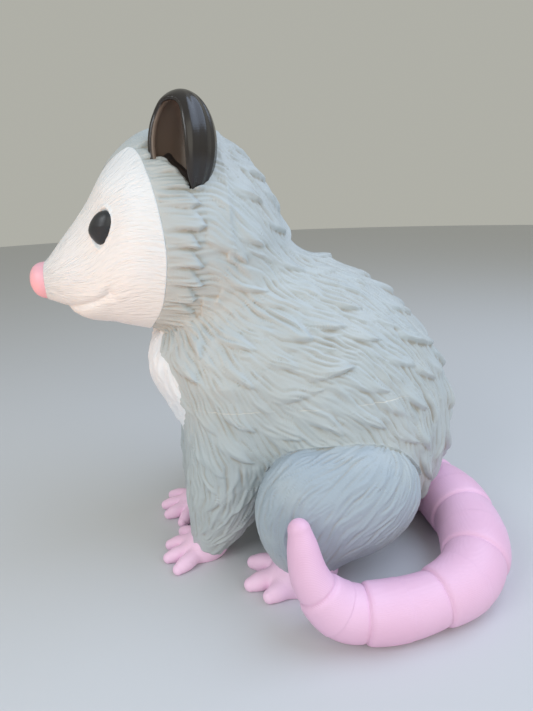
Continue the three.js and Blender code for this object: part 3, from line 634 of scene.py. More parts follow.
class Buckets:
    """Points sorted into cubes, to find those near a place."""

    def __init__(self, points, cube=16.0):
        self.points, self.cube = points, cube
        keys = np.floor(points / cube).astype(int)
        self.low = keys.min(0)
        keys -= self.low
        self.size = keys.max(0) + 1
        flat = (keys[:, 0] * self.size[1] + keys[:, 1]) * self.size[2] + keys[:, 2]
        self.order = np.argsort(flat, kind="stable")
        self.start = np.searchsorted(flat[self.order], np.arange(np.prod(self.size) + 1))

    def near(self, place, radius):
        a = np.floor((place - radius) / self.cube).astype(int) - self.low
        b = np.floor((place + radius) / self.cube).astype(int) - self.low
        a, b = np.maximum(a, 0), np.minimum(b, self.size - 1)
        found = [np.zeros(0, int)]
        for i in range(a[0], b[0] + 1):
            for j in range(a[1], b[1] + 1):
                row = (i * self.size[1] + j) * self.size[2]
                found.append(self.order[self.start[row + a[2]]:self.start[row + b[2] + 1]])
        found = np.concatenate(found)
        away = self.points[found] - place
        return found[(away * away).sum(1) < radius * radius]


def scattered(points, spacing):
    """A seeded choice of points that keep a distance, which may differ from place to place."""
    spacing = np.broadcast_to(spacing, len(points))
    kept = np.zeros((len(points), 3))
    chosen = []
    for i in rng.permutation(len(points)):
        away = kept[:len(chosen)] - points[i]
        if len(chosen) and (away * away).sum(1).min() < spacing[i] ** 2:
            continue
        kept[len(chosen)] = points[i]
        chosen.append(i)
    return np.array(chosen)


def carve(points, normals, zone, seeds, outs, table, kind, height, flow):
    """Strokes locks over the skin, one over the other, as a carver does. A lock blends out of
    what is under it at its root and upper side; its lower side and hooked tip stand proud."""
    buckets = Buckets(points)
    ways = lie_of(table, seeds, outs)
    for number in rng.permutation(len(seeds)):
        at, out, way = seeds[number], outs[number], ways[number]
        size = kind(at)
        long, wide, high = (size[key] * (1 + vary * rng.uniform(-1, 1))
                            for key, vary in (("long", 0.22), ("wide", 0.25), ("high", 0.3)))
        side = np.cross(out, way)
        down = -np.sign(side[2]) if abs(side[2]) > 0.15 else rng.choice([-1.0, 1.0])
        # It bends as the lie of the coat turns from its root to its tip
        ends = np.stack([at + way * 0.35 * long, at - way * 0.35 * long])
        turns = lie_of(table, ends, np.stack([out, out]))
        lean = (turns @ side) / np.maximum(np.abs(turns @ way), 0.35) * np.sign(turns @ way)
        bend = float(np.clip((lean[0] - lean[1]) / (1.4 * long), -0.012, 0.012))
        hook = -down * size["hook"] * wide * rng.choice([1.0, 1.0, 1.0, -0.6])
        hook = hook * rng.uniform(0.4, 1.3)
        phase, lines = rng.uniform(0, 1), wide / size["line"]
        seen = buckets.near(at, 0.62 * long)
        seen = seen[(normals[seen] @ out > 0.2) & zone[seen]]
        away = points[seen] - at
        along, across = away @ way, away @ side
        # s runs from its root to its tip, v from edge to edge
        s = along / long + 0.5
        t = np.clip(s, 0, 1)
        across = across - bend * along ** 2 - hook * (t ** 2.6 - 0.9 * t * (1 - t))
        taper = np.minimum(1.0, 1.5 * (1 - t) ** 0.68) * (0.7 + 0.3 * ease(0, 0.4, t))
        half = wide / 2 * np.maximum(taper, 1e-3)
        v = across / half
        keep = (s > 0) & (s < 1) & (np.abs(v) < 1)
        seen, s, v, half = seen[keep], s[keep], v[keep], half[keep]
        low_side = v * down
        inner = (1 - np.abs(v)) * half
        crisp = 1 - np.exp(-(inner / size["crisp"]) ** 1.3)
        edge = np.where(low_side > 0, crisp, ease(0, 0.55 * wide / 2, inner))
        share = ease(0.0, 0.4, s) * edge * (1 - np.exp(-(1 - s) * long / 1.5))
        slant = ease(-1.0, 0.7, low_side)
        shape = size["level"] + (high - size["level"]) * ease(0.1, 0.92, s) * slant
        wave = v * lines / 2 + phase + 0.14 * np.sin(6 * s + 9 * phase)
        shape -= size["groove"] * (0.5 + 0.5 * np.cos(2 * math.pi * wave)) * (0.6 + 0.4 * s)
        height[seen] = height[seen] * (1 - share) + shape * share
        # The strands draw together at the tip, swerve with the lock and snake a little
        narrowing = -v * wide / 2 * ease(0.35, 0.8, s) / np.maximum(1 - s, 0.25) ** 0.32
        hooked = hook * (2.6 * s ** 1.6 - 0.9 * (1 - 2 * s))
        swerve = narrowing / long + 2 * bend * (s - 0.5) * long + hooked / long
        snake = 0.22 * np.sin(2 * math.pi * (1.15 * s + phase))
        turned = unit(way + (swerve + snake)[:, None] * side)
        flow[seen] = flow[seen] * (1 - share[:, None]) + turned * share[:, None]


def steps_along(points, normals, flow, step):
    """The point nearest to one step on, and to one step back, along the flow."""
    tree = KDTree(len(points))
    for i, p in enumerate(points.tolist()):
        tree.insert(p, i)
    tree.balance()
    flow = unit(flow - normals * (flow * normals).sum(1, keepdims=True))
    return [np.array([tree.find(p)[1] for p in (points + flow * step * way).tolist()])
            for way in (1, -1)]


def blurred(value, edges, times):
    """A value at each point, averaged with its neighbours."""
    a = np.concatenate([edges[:, 0], edges[:, 1]])
    b = np.concatenate([edges[:, 1], edges[:, 0]])
    count = np.bincount(a, minlength=len(value))
    for _ in range(times):
        value = 0.5 * value + 0.5 * np.bincount(a, value[b], len(value)) / count
    return value


def combed(steps, edges, reach, fine, coarse, smooth):
    """Random grain drawn out along the flow into strands, with a spread of about 1."""
    ahead, behind = steps
    near = blurred(rng.normal(size=len(ahead)), edges, fine)
    grain = near - blurred(near, edges, coarse)
    total, on, back = grain.copy(), ahead, behind
    for k in range(1, int(reach / STEP) + 1):
        total += (1 - k / (reach / STEP + 1)) * (grain[on] + grain[back])
        on, back = ahead[on], behind[back]
    total = blurred(total, edges, smooth)
    return np.clip(total / max(total.std(), 1e-9), -2.2, 2.2)


# Sizes of a carved lock: length, width, height of its tip and of its root, how far its tip hooks
# as a share of its width, distance and depth of its grooves, softness of its lower edge
LOCK_SIZES = ("long", "wide", "high", "level", "hook", "line", "groove", "crisp")


def low_front(p):
    """1 on the low part of the front legs, 0 on the rest of the coat."""
    return ease(135, 95, p[..., 2]) * ease(110, 90, p[..., 1])


def coat_kind(p):
    low, back = low_front(p), ease(185, 235, p[1])
    long, wide, high = 50 - 8 * low + 2 * back, 27 - 9 * low, 5.6 - 2.0 * low + 2.0 * back
    return dict(zip(LOCK_SIZES, (long, wide, high, 1.1 - 0.2 * low, 0.36, 4.2, 0.2, 2.4)))


def strand_kind(_):
    return dict(zip(LOCK_SIZES, (52, 17, 2.9, 1.2, 0.34, 3.6, 0.15, 2.0)))


def haunch_kind(_):
    return dict(zip(LOCK_SIZES, (60, 15, 2.0, 0.9, 0.15, 3.4, 0.15, 1.8)))


# ---------------------------------------------------------------- ruff round the head
def ring_point(turn, y):
    """Point of the head's outline: turn in degrees round its ring at y, from its left upwards."""
    top, low, wide = smooth_rows(HEAD_RINGS, y)
    a = np.radians(turn)
    return np.stack([wide * np.cos(a), y, (top + low) / 2 + (top - low) / 2 * np.sin(a)], -1)


def rise_of(p):
    """Degrees up from the side, round the head's axis."""
    return np.degrees(np.arctan2(p[..., 2] - HEAD_AXIS, np.abs(p[..., 0])))


def face_edge(turn):
    """y of the white face's edge where it crosses the head's outline at a turn."""
    y = np.full(np.shape(turn), 15.0)
    for _ in range(12):
        y = 0.5 * y + 0.5 * smooth_rows(FACE_EDGE, rise_of(ring_point(turn, y)))[0]
    return y


def head_turn(p):
    """Turn round the head's ring at which points lie, from the side upwards, on either side."""
    top, low, wide = smooth_rows(HEAD_RINGS, p[:, 1])
    up = (p[:, 2] - (top + low) / 2) / ((top - low) / 2)
    return np.degrees(np.arctan2(up, np.abs(p[:, 0]) / wide))


RUFF_LOCKS = 17
RUFF_GIRTH = 250
# Height of the ruff's smooth root, and of its locks' low and high side
RUFF_ROOT, LOCK_LOW, LOCK_RISE = 3.25, 1.1, 3.9
# Where the locks before the ear end: degrees up from the side, y
PAD_LIMIT = ((30, 90), (35, 52), (43, 46), (49, 41), (53, 35), (57, 29), (61, 27), (66, 30),
             (70, 90))


def ruff_height(p, up, edge):
    """Height of the ruff's locks over the head's bare skin."""
    rise = rise_of(p)
    share = (90 - up) / 180
    out = np.zeros(len(p))
    for _, side in SIDES:
        here = p[:, 0] * side >= 0
        step = 1 + 0.3 * rng.uniform(-1, 1, RUFF_LOCKS)
        cuts = np.concatenate([[0], np.cumsum(step) / step.sum()])
        cuts[-1] = 1.0001
        y, start, round_head = p[here, 1], edge[here], share[here]
        limit = np.minimum(ruff_end(p[here, 2]), np.interp(rise[here], *zip(*PAD_LIMIT)))
        # q goes round the head, with a slow sway; k is the lock and u the place across it
        reach = np.clip((y - start) / (limit - start), 0, 1.3)
        sway = 0.016 * np.sin(7 * round_head + side) + 0.008 * (round_head - 0.3)
        q = np.clip(round_head + sway * reach ** 2, 0, 1)
        k = np.clip(np.searchsorted(cuts, q, side="right") - 1, 0, RUFF_LOCKS - 1)
        u = (q - cuts[k]) / (cuts[k + 1] - cuts[k])
        wide = RUFF_GIRTH * (cuts[k + 1] - cuts[k])
        longer = rng.uniform(-3.0, 3.5, RUFF_LOCKS)[k]
        point = 0.68 + 0.2 * rng.uniform(-1, 1, RUFF_LOCKS)[k]
        notch = 9.5 + 3.0 * rng.uniform(-1, 1, RUFF_LOCKS)[k]
        end = limit + longer - notch * np.abs(u - point) / np.maximum(point, 1 - point)
        s = (y - start) / (end - start)
        grown = ease(0.08, 0.8, s)
        crest = LOCK_LOW + LOCK_RISE * u ** 0.9 * (1 - np.exp(-(1 - u) * wide / 1.1))
        lines = 4 + np.floor(rng.uniform(0, 2.99, RUFF_LOCKS))[k]
        phase = rng.uniform(0, 1, RUFF_LOCKS)[k]
        groove = (0.5 + 0.5 * np.cos(2 * math.pi * (lines * u + phase))) ** 1.5
        h = RUFF_ROOT * (1 - grown) + crest * grown - 0.5 * groove * ease(0.0, 0.45, s)
        h = h * (1 - np.exp(-np.maximum(end - y, 0) / 1.1))
        crown = ease(64, 74, rise[here]) * ease(84, 66, y)
        h = h * (1 - crown) + crown * (3.1 - 0.3 * groove)
        out[here] = np.where((y < end) | (crown > 0), h, 0)
    return out


# ---------------------------------------------------------------- the grey coat
COAT_LOW, COAT_HIGH, SEEDS_LOW = (-135, -28.8, -6), (135, 300, 385), (-135, 0, -6)
COAT_CELL, SEED_CELL = 7.2, 9.0
# Inner side of the haunches, back of the ruff, turns at which the throat and the crown begin
HAUNCH_INNER, RUFF_BACK, THROAT_TURN, CROWN_TURN = 40, 84, -52, 56
COAT_LEVEL, HAUNCH_LEVEL, UNDER_FACE = 1.6, 0.9, 2.5
STRAND_GAP, LOCK_GAP, LOW_LOCK_GAP, HAUNCH_GAP = 11.0, 25, 9.0, 10.5
STEP = 2.2
# Random strands: reach along the flow, blurs of the grain, of what is taken from it, of the result
STRAND_LAYERS = [(26, 3, 13, 3), (18, 1, 4, 1)]
NEAR_BLURS, WIDE_BLURS = ((12, 40))

points, quads = skin(coat_field, COAT_LOW, COAT_HIGH, COAT_CELL, 3)
normals = slope(coat_field, points, coat_field(points))
body, head, haunch = coat_parts(points)
on_haunch = (haunch < np.minimum(body, head)) & (np.abs(points[:, 0]) > HAUNCH_INNER)
on_head = (head < body + 1.0) & (points[:, 2] > HEAD_LOW) & (points[:, 1] < RUFF_BACK)
turns = np.linspace(-90, 90, 181)
up = head_turn(points)
edge = np.interp(up, turns, face_edge(turns))
flow = lie_of(COAT_LIE, points, normals)
flow[on_haunch] = lie_of(HAUNCH_LIE, points[on_haunch], normals[on_haunch])
back_way = np.array([0.0, 1.0, -0.1])
flow[on_head] = unit(back_way - normals[on_head] * (normals[on_head] @ back_way)[:, None])
behind_face = points[:, 1] >= edge + 0.6
ruff = np.where(behind_face, ruff_height(points, up, edge), UNDER_FACE)
below_ruff = on_head & (up < THROAT_TURN) & (points[:, 1] > edge + 0.6)
past_ruff = points[:, 1] - ruff_end(points[:, 2])
bare_coat = ~on_haunch & (~on_head | below_ruff)
on_coat = bare_coat | (~on_haunch & (past_ruff > 3))
height = np.where(bare_coat, COAT_LEVEL, np.where(on_head, ruff, 0.0))
smooth_crown = height.copy()

# Places from which the locks are drawn
coarse = skin(coat_field, SEEDS_LOW, COAT_HIGH, SEED_CELL, 1)[0]
coarse_normals = slope(coat_field, coarse, coat_field(coarse))
body_c, head_c, haunch_c = coat_parts(coarse)
coarse_haunch = (haunch_c < body_c + 1) & (np.abs(coarse[:, 0]) > HAUNCH_INNER)
coarse_head = ((head_c < body_c + 1) & (coarse[:, 2] > HEAD_LOW)
               & (coarse[:, 1] < ruff_end(coarse[:, 2]) + 18))
low_head = coarse_head & (head_turn(coarse) < -48) & (coarse[:, 1] > 10)
shown = (coarse[:, 2] > 6) & (coarse[:, 1] > 14) & (~coarse_head | low_head)


def strew(pick, gap, zone, table, kind):
    """Carves locks over a zone, from seeds that keep a gap."""
    seeds, outs = coarse[pick], coarse_normals[pick]
    chosen = scattered(seeds, gap)
    carve(points, normals, zone, seeds[chosen], outs[chosen], table, kind, height, flow)


pick = shown & ~coarse_haunch
strew(pick, STRAND_GAP, on_coat, COAT_LIE, strand_kind)
strew(pick, LOCK_GAP - LOW_LOCK_GAP * low_front(coarse[pick]), on_coat, COAT_LIE, coat_kind)
# The crown between the ears stays smooth, and the coat rises to meet it
on_crown = on_head & (up > CROWN_TURN)
grown = ease(3, 18, past_ruff[on_crown])
height[on_crown] = smooth_crown[on_crown] * (1 - grown) + height[on_crown] * grown
near = ease(10, 1, head - body) * ease(52, 62, up) * ease(300, 320, points[:, 2]) * ~on_head
height = height * (1 - near) + (COAT_LEVEL + 1.5 * ease(84, 66, points[:, 1])) * near
height[on_haunch] = HAUNCH_LEVEL
strew(shown & coarse_haunch & (haunch_c < 1.5), HAUNCH_GAP, on_haunch, HAUNCH_LIE, haunch_kind)

edges, _ = edges_of(quads, len(points))
steps = steps_along(points, normals, flow, STEP)
strands, hairs = ([combed(steps, edges, *sizes) for sizes in STRAND_LAYERS] + [0])[:2]
throat = (ease(262, 240, points[:, 2]) * ease(195, 215, points[:, 2])
          * ease(70, 50, points[:, 1]))
depth = (np.where(on_haunch, 0.3, 0.44) * np.where(on_head & ~below_ruff, 0.6, 1.0)
         * (1 + 0.4 * throat))
grown = np.where(on_head & (points[:, 1] < edge + 2), 0, 1)
height = height + (depth * strands + np.where(on_haunch, 0.2, 0.14) * hairs) * grown
height = blurred(height, edges, 1)
# Painted shade: how far each point lies under its blurred neighbours, finely and broadly; the
# coat's materials darken it with a warm brown
near = blurred(height, edges, NEAR_BLURS)
wide = blurred(near, edges, WIDE_BLURS)
painted_light_and_shade = np.clip((near - height) / 0.9, 0, 1) * 0.75 + np.clip((wide - height) / 2.2, 0, 1) * 0.55
painted_light_and_shade = np.clip(painted_light_and_shade, 0, 1)
room = ear_room(to_left(points))
height *= ease(0.0, 2.0, room)
bare = points
points = points + normals * height[:, None]
points[:, 2] = np.maximum(points[:, 2], 0.0)
shown_normals = point_normals(points, quads)
bib_half, = smooth_rows(BIB, points[:, 2])
front = ease(95, 80, points[:, 1])
bib_edge = (bib_half - np.abs(points[:, 0])) * front - 40 * (1 - front)
bib_edge[(points[:, 2] < BIB[0, 0]) | (points[:, 2] > BIB[-1, 0])] = -10.0
attributes = {"painted_light_and_shade": painted_light_and_shade, "bib": bib_edge, "ear_room": ease(1.0, 0.2, room)}

# Pieces of the coat
covered = on_head & (points[:, 1] < edge - 2.5)
quads = quads[~covered[quads].any(1)]
centre = points[quads].mean(1)
is_ruff = on_head[quads].all(1) & (centre[:, 1] < ruff_end(centre[:, 2]) + 6)
is_haunch = on_haunch[quads].sum(1) >= 2
is_bib = (bib_edge[quads].max(1) > -3) & ~is_haunch & ~is_ruff
mirrored = to_left(centre)
is_leg = ((leg_field(mirrored) < trunk_field(mirrored)) & (centre[:, 2] < 150)
          & ~is_bib & ~is_haunch)
is_upper = (centre[:, 2] > SEAM_HEIGHT) & ~is_bib & ~is_ruff
is_lower = (centre[:, 2] <= SEAM_HEIGHT) & ~is_bib & ~is_haunch & ~is_leg
is_left = centre[:, 0] > 0


# Millimetres on the flat map for each radian that the skin turns: on the body, on a leg
BODY_ROLL, LEG_ROLL = 35, 30


def unrolled(p, n, faces, toward):
    """Flat places of the faces' corners: the bare skin as it lies across a direction, with what
    turns away from that direction rolled outwards."""
    toward = np.array(toward, float)
    level = np.stack([np.cross(toward, [0, 0, 1]), [0, 0, 1]], 1)
    turn = np.arccos(np.clip(n @ toward, -1, 1))
    rolled = BODY_ROLL * (turn / np.maximum(np.sin(turn), 0.3) - 1) * ease(0, 0.3, turn)
    return (p @ level + rolled[:, None] * (n @ level))[faces]


def unrolled_leg(p, faces):
    """The same for a front leg: the angle round its own middle line, and the height."""
    middle_x, middle_y, _, _ = smooth_rows(LEG_RINGS, p[:, 2])
    turn = np.arctan2(np.abs(p[:, 0]) - middle_x, middle_y - p[:, 1])[faces]
    turn += 2 * math.pi * np.round((turn[:, :1] - turn) / (2 * math.pi))
    return np.stack([LEG_ROLL * turn, p[:, 2][faces]], -1)


def coat_piece(name, chosen, material, slot, keys, toward, nodes):
    """One piece of the coat, with its own points and the attributes that its material reads.
    Without a direction toward which it faces it is a leg."""
    used, faces = np.unique(quads[chosen], return_inverse=True)
    faces = faces.reshape(-1, 4)
    if toward:
        flat = unrolled(bare[used], normals[used], faces, toward)
    else:
        flat = unrolled_leg(bare[used], faces)
    kept = {key: attributes[key][used] for key in keys}
    made = made_object(name, points[used], [faces], material, shown_normals[used], kept, flat)
    return finished(made, slot, *nodes)


# Name, quads, material, attributes, whether it is a leg, nodes of its left and right piece
for stem, chosen, material, keys, is_round, *nodes in (
        ("ruff", is_ruff, grey_coat, ("painted_light_and_shade", "ear_room"), False, ("head",), ()),
        ("coat_upper", is_upper, grey_coat, ("painted_light_and_shade", "ear_room"), False,
         ("neck", "torso_upper"), ()),
        ("coat_lower", is_lower, grey_coat, ("painted_light_and_shade",), False, ("torso_lower",), ()),
        ("foreleg_coat", is_leg, grey_coat, ("painted_light_and_shade",), True,
         ("foreleg_left",), ("foreleg_right",)),
        ("haunch_coat", is_haunch, shaded_grey_haunch, ("painted_light_and_shade",), False,
         ("haunch_left",), ("haunch_right",))):
    for (label, side), own_nodes in zip(SIDES, nodes):
        coat_piece(stem + "_" + label, chosen & (is_left == (side > 0)), material, "grey", keys,
                   None if is_round else (side, 0, 0), own_nodes)
coat_piece("bib_coat", is_bib, bib_coat, "white", ("painted_light_and_shade", "bib"), (0, -1, 0), ("chest",))

# ---------------------------------------------------------------- white face
MOUTH = np.array([
    (2, -67, 242.4), (7, -62, 240.0), (13, -55, 239.2), (20, -46.5, 240.2), (28, -37, 242.8),
    (34.5, -29, 245.8), (39, -23.5, 249.2), (42.5, -19.5, 252)], float)
# Soft forms of the left side: place, reach, height over the plain head
FACE_FORMS = (((44, -20, 297), (16, 15, 17), -3.2),     # eye socket
              ((36, -34, 281), (14, 16, 12), -1.6),     # inner corner of the socket
              ((33, -14, 331), (15, 12, 11), 1.6),      # brow
              ((52, 0, 262), (16, 17, 17), 1.5),        # cheek
              ((22, -50, 262), (12, 15, 12), 0.9))      # side of the muzzle
MOUTH_CORNER = (((43.5, -18, 251.5), (5.5, 6, 5), -1.4), ((47, -11, 249), (5, 6, 7), 0.9))
LIP_CUT, JAW_BULGE, MOUTH_DEEP, CHIN_RISE = 1.3, 4.0, 1.1, 1.0


def along_line(points, line):
    """Distance from points to a polyline, and the place on it, from 0 to 1."""
    best, share = np.full(len(points), 1e9), np.zeros(len(points))
    for k in range(len(line) - 1):
        a, run = line[k], line[k + 1] - line[k]
        t = np.clip(((points - a) @ run) / (run @ run), 0, 1)
        away = np.linalg.norm(points - a - t[:, None] * run, axis=1)
        share = np.where(away < best, (k + t) / (len(line) - 1), share)
        best = np.minimum(best, away)
    return best, share


def raise_forms(out, points, forms):
    for at, reach, high in forms:
        away = (points - at) / reach
        out += high * np.exp(-(away * away).sum(1))


def eye_place(p):
    """Places of points on the left in the eye's own axes: out, back, up."""
    c, s = math.cos(rad(EYE_SWING)), math.sin(rad(EYE_SWING))
    away = p - np.array(EYE_AT, float)
    x, y = away[:, 0], away[:, 1]
    return np.stack([c * x + s * y, -s * x + c * y, away[:, 2]], -1)


def eye_half(turn):
    """Half length of the eye's outline at turns in radians."""
    return smooth_rows(EYE_EDGE, np.degrees(turn) % 360)[0]


def face_forms(points):
    """How far the face stands out from the plain head: sockets, brows, cheeks, mouth and jaw."""
    p = to_left(points)
    out = np.zeros(len(p))
    raise_forms(out, p, FACE_FORMS)
    away, share = along_line(p, MOUTH)
    under = np.interp(p[:, 1], MOUTH[:, 1], MOUTH[:, 2]) - p[:, 2]
    front = ease(-12, -24, p[:, 1])
    lip = ease(-0.8, 1.6, under) * np.exp(-(np.maximum(under, 0) / 16) ** 2) * front
    out -= LIP_CUT * lip * ease(10, 2, under)
    out += JAW_BULGE * ease(-70, -58, p[:, 1]) * ease(-16, -42, p[:, 1]) * ease(0.0, 5, under)
    out -= MOUTH_DEEP * np.exp(-(away / 1.7) ** 2) * (1 - 0.4 * share)
    out += CHIN_RISE * np.exp(-((under + 5.5) / 5) ** 2) * front
    raise_forms(out, p, MOUTH_CORNER)
    # A low lid round the eye, and a flat bed under it
    place = eye_place(p)
    rim = np.hypot(place[:, 1], place[:, 2]) - eye_half(np.arctan2(place[:, 2], place[:, 1]))
    out += 1.0 * np.exp(-((rim - 1.7) / 1.5) ** 2) - 0.8 * ease(1.0, -1.5, rim)
    return out


def make_face(rows, sides):
    """The face's plate, from the nose back to its edge, and closed inside the head."""
    turn = np.linspace(-90, 270, sides, endpoint=False)
    start, edge = NOSE_BASE + 0.3, face_edge(turn)
    rings, lies = [], []
    for s in np.linspace(0, 1, rows) ** 1.08:
        y = start + (edge - NOSE_BASE - 0.3) * s
        rings.append(ring_point(turn, y))
        across = np.radians(turn - 90) * 50 + 2.2 * np.sin(7 * s + 0.05 * turn)
        lies.append(np.stack([s * 95 + 0 * turn, across, 0 * turn + 1.3], -1))
    flat = np.concatenate(rings)
    out = slope(head_field, flat, head_field(flat))
    flat = flat + out * face_forms(flat)[:, None]
    rings = list(flat.reshape(rows, sides, 3))
    rim, rim_out = rings[-1], out.reshape(rows, sides, 3)[-1]
    for deep, back in ((0.35, 0.25), (0.9, 0.3), (4.0, 0.0)):
        rings.append(rim - rim_out * deep + np.array([0, back, 0]))
        lies.append(lies[-1])
    middle = rings[0].mean(0)
    rings = [middle + (rings[0] - middle) * k for k in (0.3, 0.75, 0.985)] + rings
    lies = [lies[0]] * 3 + lies
    lie = np.concatenate([x[::-1] for x in lies])
    made = solid_of("white_face", [r[::-1] for r in rings], white_face, {"lie": lie})
    return finished(made, "white", "face")


NOSE_LONG, NOSE_HALF, NOSE_LEVEL = 13.0, (15.1, 15.6), 259.2


def make_nose(rows, sides):
    """Egg-shaped nose in front of the face, a little flatter below and with a faint groove."""
    turn = np.radians(np.linspace(0, 360, sides, endpoint=False))
    below = 1 - 0.06 * np.maximum(-np.sin(turn), 0)
    rings = []
    for a in (math.pi / 2 * (k / (rows - 1)) for k in range(rows)):
        size = max(math.cos(a), 0.01) ** 0.9
        y = NOSE_BASE - NOSE_LONG * math.sin(a) ** 0.92
        wide, tall = NOSE_HALF[0] * size, NOSE_HALF[1] * size
        dent = 0.05 * np.exp(-(np.cos(turn) / 0.12) ** 2) * (np.sin(turn) < 0) * math.sin(a)
        groove = 1 - dent
        x = wide * np.cos(turn) * below * groove
        z = NOSE_LEVEL + 0.8 * math.sin(a) + tall * np.sin(turn) * below * groove
        rings.append(np.stack([x, y + 0 * turn, z], -1))
    inner = [rings[0] + np.array([0, 5.0, 0]), rings[0] + np.array([0, 0.6, 0])]
    inner[0][:, [0, 2]] = (inner[0][:, [0, 2]] - [0, NOSE_LEVEL]) * 0.8 + [0, NOSE_LEVEL]
    return finished(solid_of("pink_nose", inner + rings, pink), "pink", "nose")


def make_eye(side, label, rows, sides):
    """Eye: a leaf-shaped dome with a soft crest across it."""
    turn = np.radians(np.linspace(0, 360, sides, endpoint=False))
    half = eye_half(turn)
    c, s = math.cos(rad(EYE_SWING)), math.sin(rad(EYE_SWING))
    rings = []
    for a in (math.pi * (k + 0.3) / (rows - 0.4) for k in range(rows)):
        size = math.sin(a) ** 0.9
        back, up = 1.32 * half * size * np.cos(turn), 0.93 * half * size * np.sin(turn)
        out = EYE_DEEP * math.cos(a) + 0 * turn
        out = out - 0.5 * np.abs(np.tanh((up - 1.0) / 2.5)) * math.cos(a)
        p = np.stack([c * out - s * back, s * out + c * back, up], -1) + np.array(EYE_AT)
        p[:, 0] *= side
        rings.append(p if side > 0 else p[::-1])
    made = solid_of("eye_" + label + "_dome", rings, eye_black)
    return finished(made, "black", "eye_" + label)


def ear_field(p):
    """Distance to an ear: a thick curled sheet round its egg, open to the front, its rim rolled."""
    q, away = ear_place(p)
    around = np.arctan2(q[:, 0], q[:, 1])
    folds = 0.0
    for turn, high, wide in EAR_FOLDS:
        folds = folds - high * np.exp(-((around - turn - 0.05 * q[:, 2]) / wide) ** 2)
    away = away + folds * ease(1.0, 0.6, np.abs(q[:, 2]))
    rim, = smooth_rows(EAR_RIM, q[:, 2])
    outer = (q[:, 1] - 0.02 + 0.12 * (q[:, 2] < 0) * q[:, 2]) * 26
    past = join((rim - q[:, 0]) * 26, outer, 7.0)
    past = join(past, (0.87 - q[:, 2]) * 34, 9.0)
    half = EAR_WALL / 2 + 0.7 * np.exp(-(past / 4.5) ** 2)
    middle = np.abs(away + EAR_WALL / 2)
    return np.where(past > 0, np.hypot(np.maximum(past, 0), middle), middle) - half


def make_ear(side, label):
    box = [31, 31, 43]
    own, faces = skin(ear_field, EAR_AT - box, EAR_AT + box, 2.3, 1)
    place, away = ear_place(own)
    # Painted light: the inside of the ear's hollow, which its material paints a lighter brown
    opening = np.interp(place[:, 2], EAR_RIM[:, 0], EAR_RIM[:, 1]) - 0.05 - place[:, 0] * 0.2
    inside = ease(-1.6, -3.4, away) * ease(-0.1, 0.1, opening)
    own, faces = on_side(side, own, faces)
    made = made_object("ear_" + label + "_shell", own, [faces], black,
                       attributes={"painted_light_and_shade": inside})
    return finished(made, "black", "ear_" + label)


# ---------------------------------------------------------------- feet
def toe_field(p, tip, root, thick, thin):
    """Distance to a petal-shaped toe that lies on the floor."""
    long = math.hypot(tip[0] - root[0], tip[1] - root[1]) + 1.5
    back = (long - thin) / (long - 1.5)
    a = np.array([root[0], root[1], thick + 1.5])
    b = np.array([root[0] + (tip[0] - root[0]) * back, root[1] + (tip[1] - root[1]) * back,
                  thin - 0.6])
    run = b - a
    t = np.clip(((p - a) @ run) / (run @ run), 0, 1)
    radius = (thick - 0.24 * thick * np.clip(1 - t / 0.55, 0, 1) ** 2
              - (thick - thin) * np.clip(t / 0.45 - 1.22, 0, 1) ** 2)
    away = p - a - t[:, None] * run
    return np.linalg.norm(away, axis=1) - radius


def make_foot(stem, side, label):
    palm, half, (thick, thin), toes, ankle, low, high = FEET[stem]

    def field(p):
        d = None
        for tip_x, tip_y, root_x, root_y in toes:
            toe = toe_field(p, (tip_x, tip_y), (root_x, root_y), thick, thin)
            d = toe if d is None else join(d, toe, 2.0)
        d = join(d, egg(p, (palm, half, 0)), 4)
        return np.maximum(join(d, egg(p, ankle), 8), -p[:, 2])
    own, faces = on_side(side, *skin(field, low, high, 3.6, 2))
    own[:, 2] = np.maximum(own[:, 2], 0)
    name = stem + "_" + label
    return finished(made_object(name + "_toes", own, [faces], lightened_lilac_feet), "lilac", name)


# Rows and sides of the nets
FACE_NET, NOSE_NET, EYE_NET = ((190, 360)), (24, 64), (25, 48)
make_face(*FACE_NET)
make_nose(*NOSE_NET)
for label, side in SIDES:
    make_eye(side, label, *EYE_NET)
    make_ear(side, label)
for label, side in SIDES:
    for stem in FEET:
        make_foot(stem, side, label)


# ---------------------------------------------------------------- tail
def smooth_line(rows, count):
    """Points at equal lengths on a centripetal line through the rows, with their last column."""
    at = rows[:, :3]
    steps = np.linalg.norm(np.diff(at, axis=0), axis=1) ** 0.5
    knots = np.concatenate([[0], np.cumsum(steps)])
    ext = np.vstack([2 * rows[0] - rows[1], rows, 2 * rows[-1] - rows[-2]])
    ext_knots = np.concatenate([[-knots[1]], knots, [2 * knots[-1] - knots[-2]]])
    key = np.linspace(0, knots[-1], 3000)
    i = np.clip(np.searchsorted(knots, key, side="right") - 1, 0, len(rows) - 2)
    t0, t1, t2, t3 = (ext_knots[i + k] for k in range(4))
    p0, p1, p2, p3 = (ext[i + k] for k in range(4))

    def mix(a, b, ta, tb):
        return a + (b - a) * ((key - ta) / (tb - ta))[:, None]
    a1, a2, a3 = mix(p0, p1, t0, t1), mix(p1, p2, t1, t2), mix(p2, p3, t2, t3)
    line = mix(mix(a1, a2, t0, t2), mix(a2, a3, t1, t3), t1, t2)
    lengths = np.linalg.norm(np.diff(line[:, :3], axis=0), axis=1)
    run = np.concatenate([[0], np.cumsum(lengths)])
    even = np.linspace(0, run[-1], count)
    return np.stack([np.interp(even, run, line[:, k]) for k in range(4)], 1), even


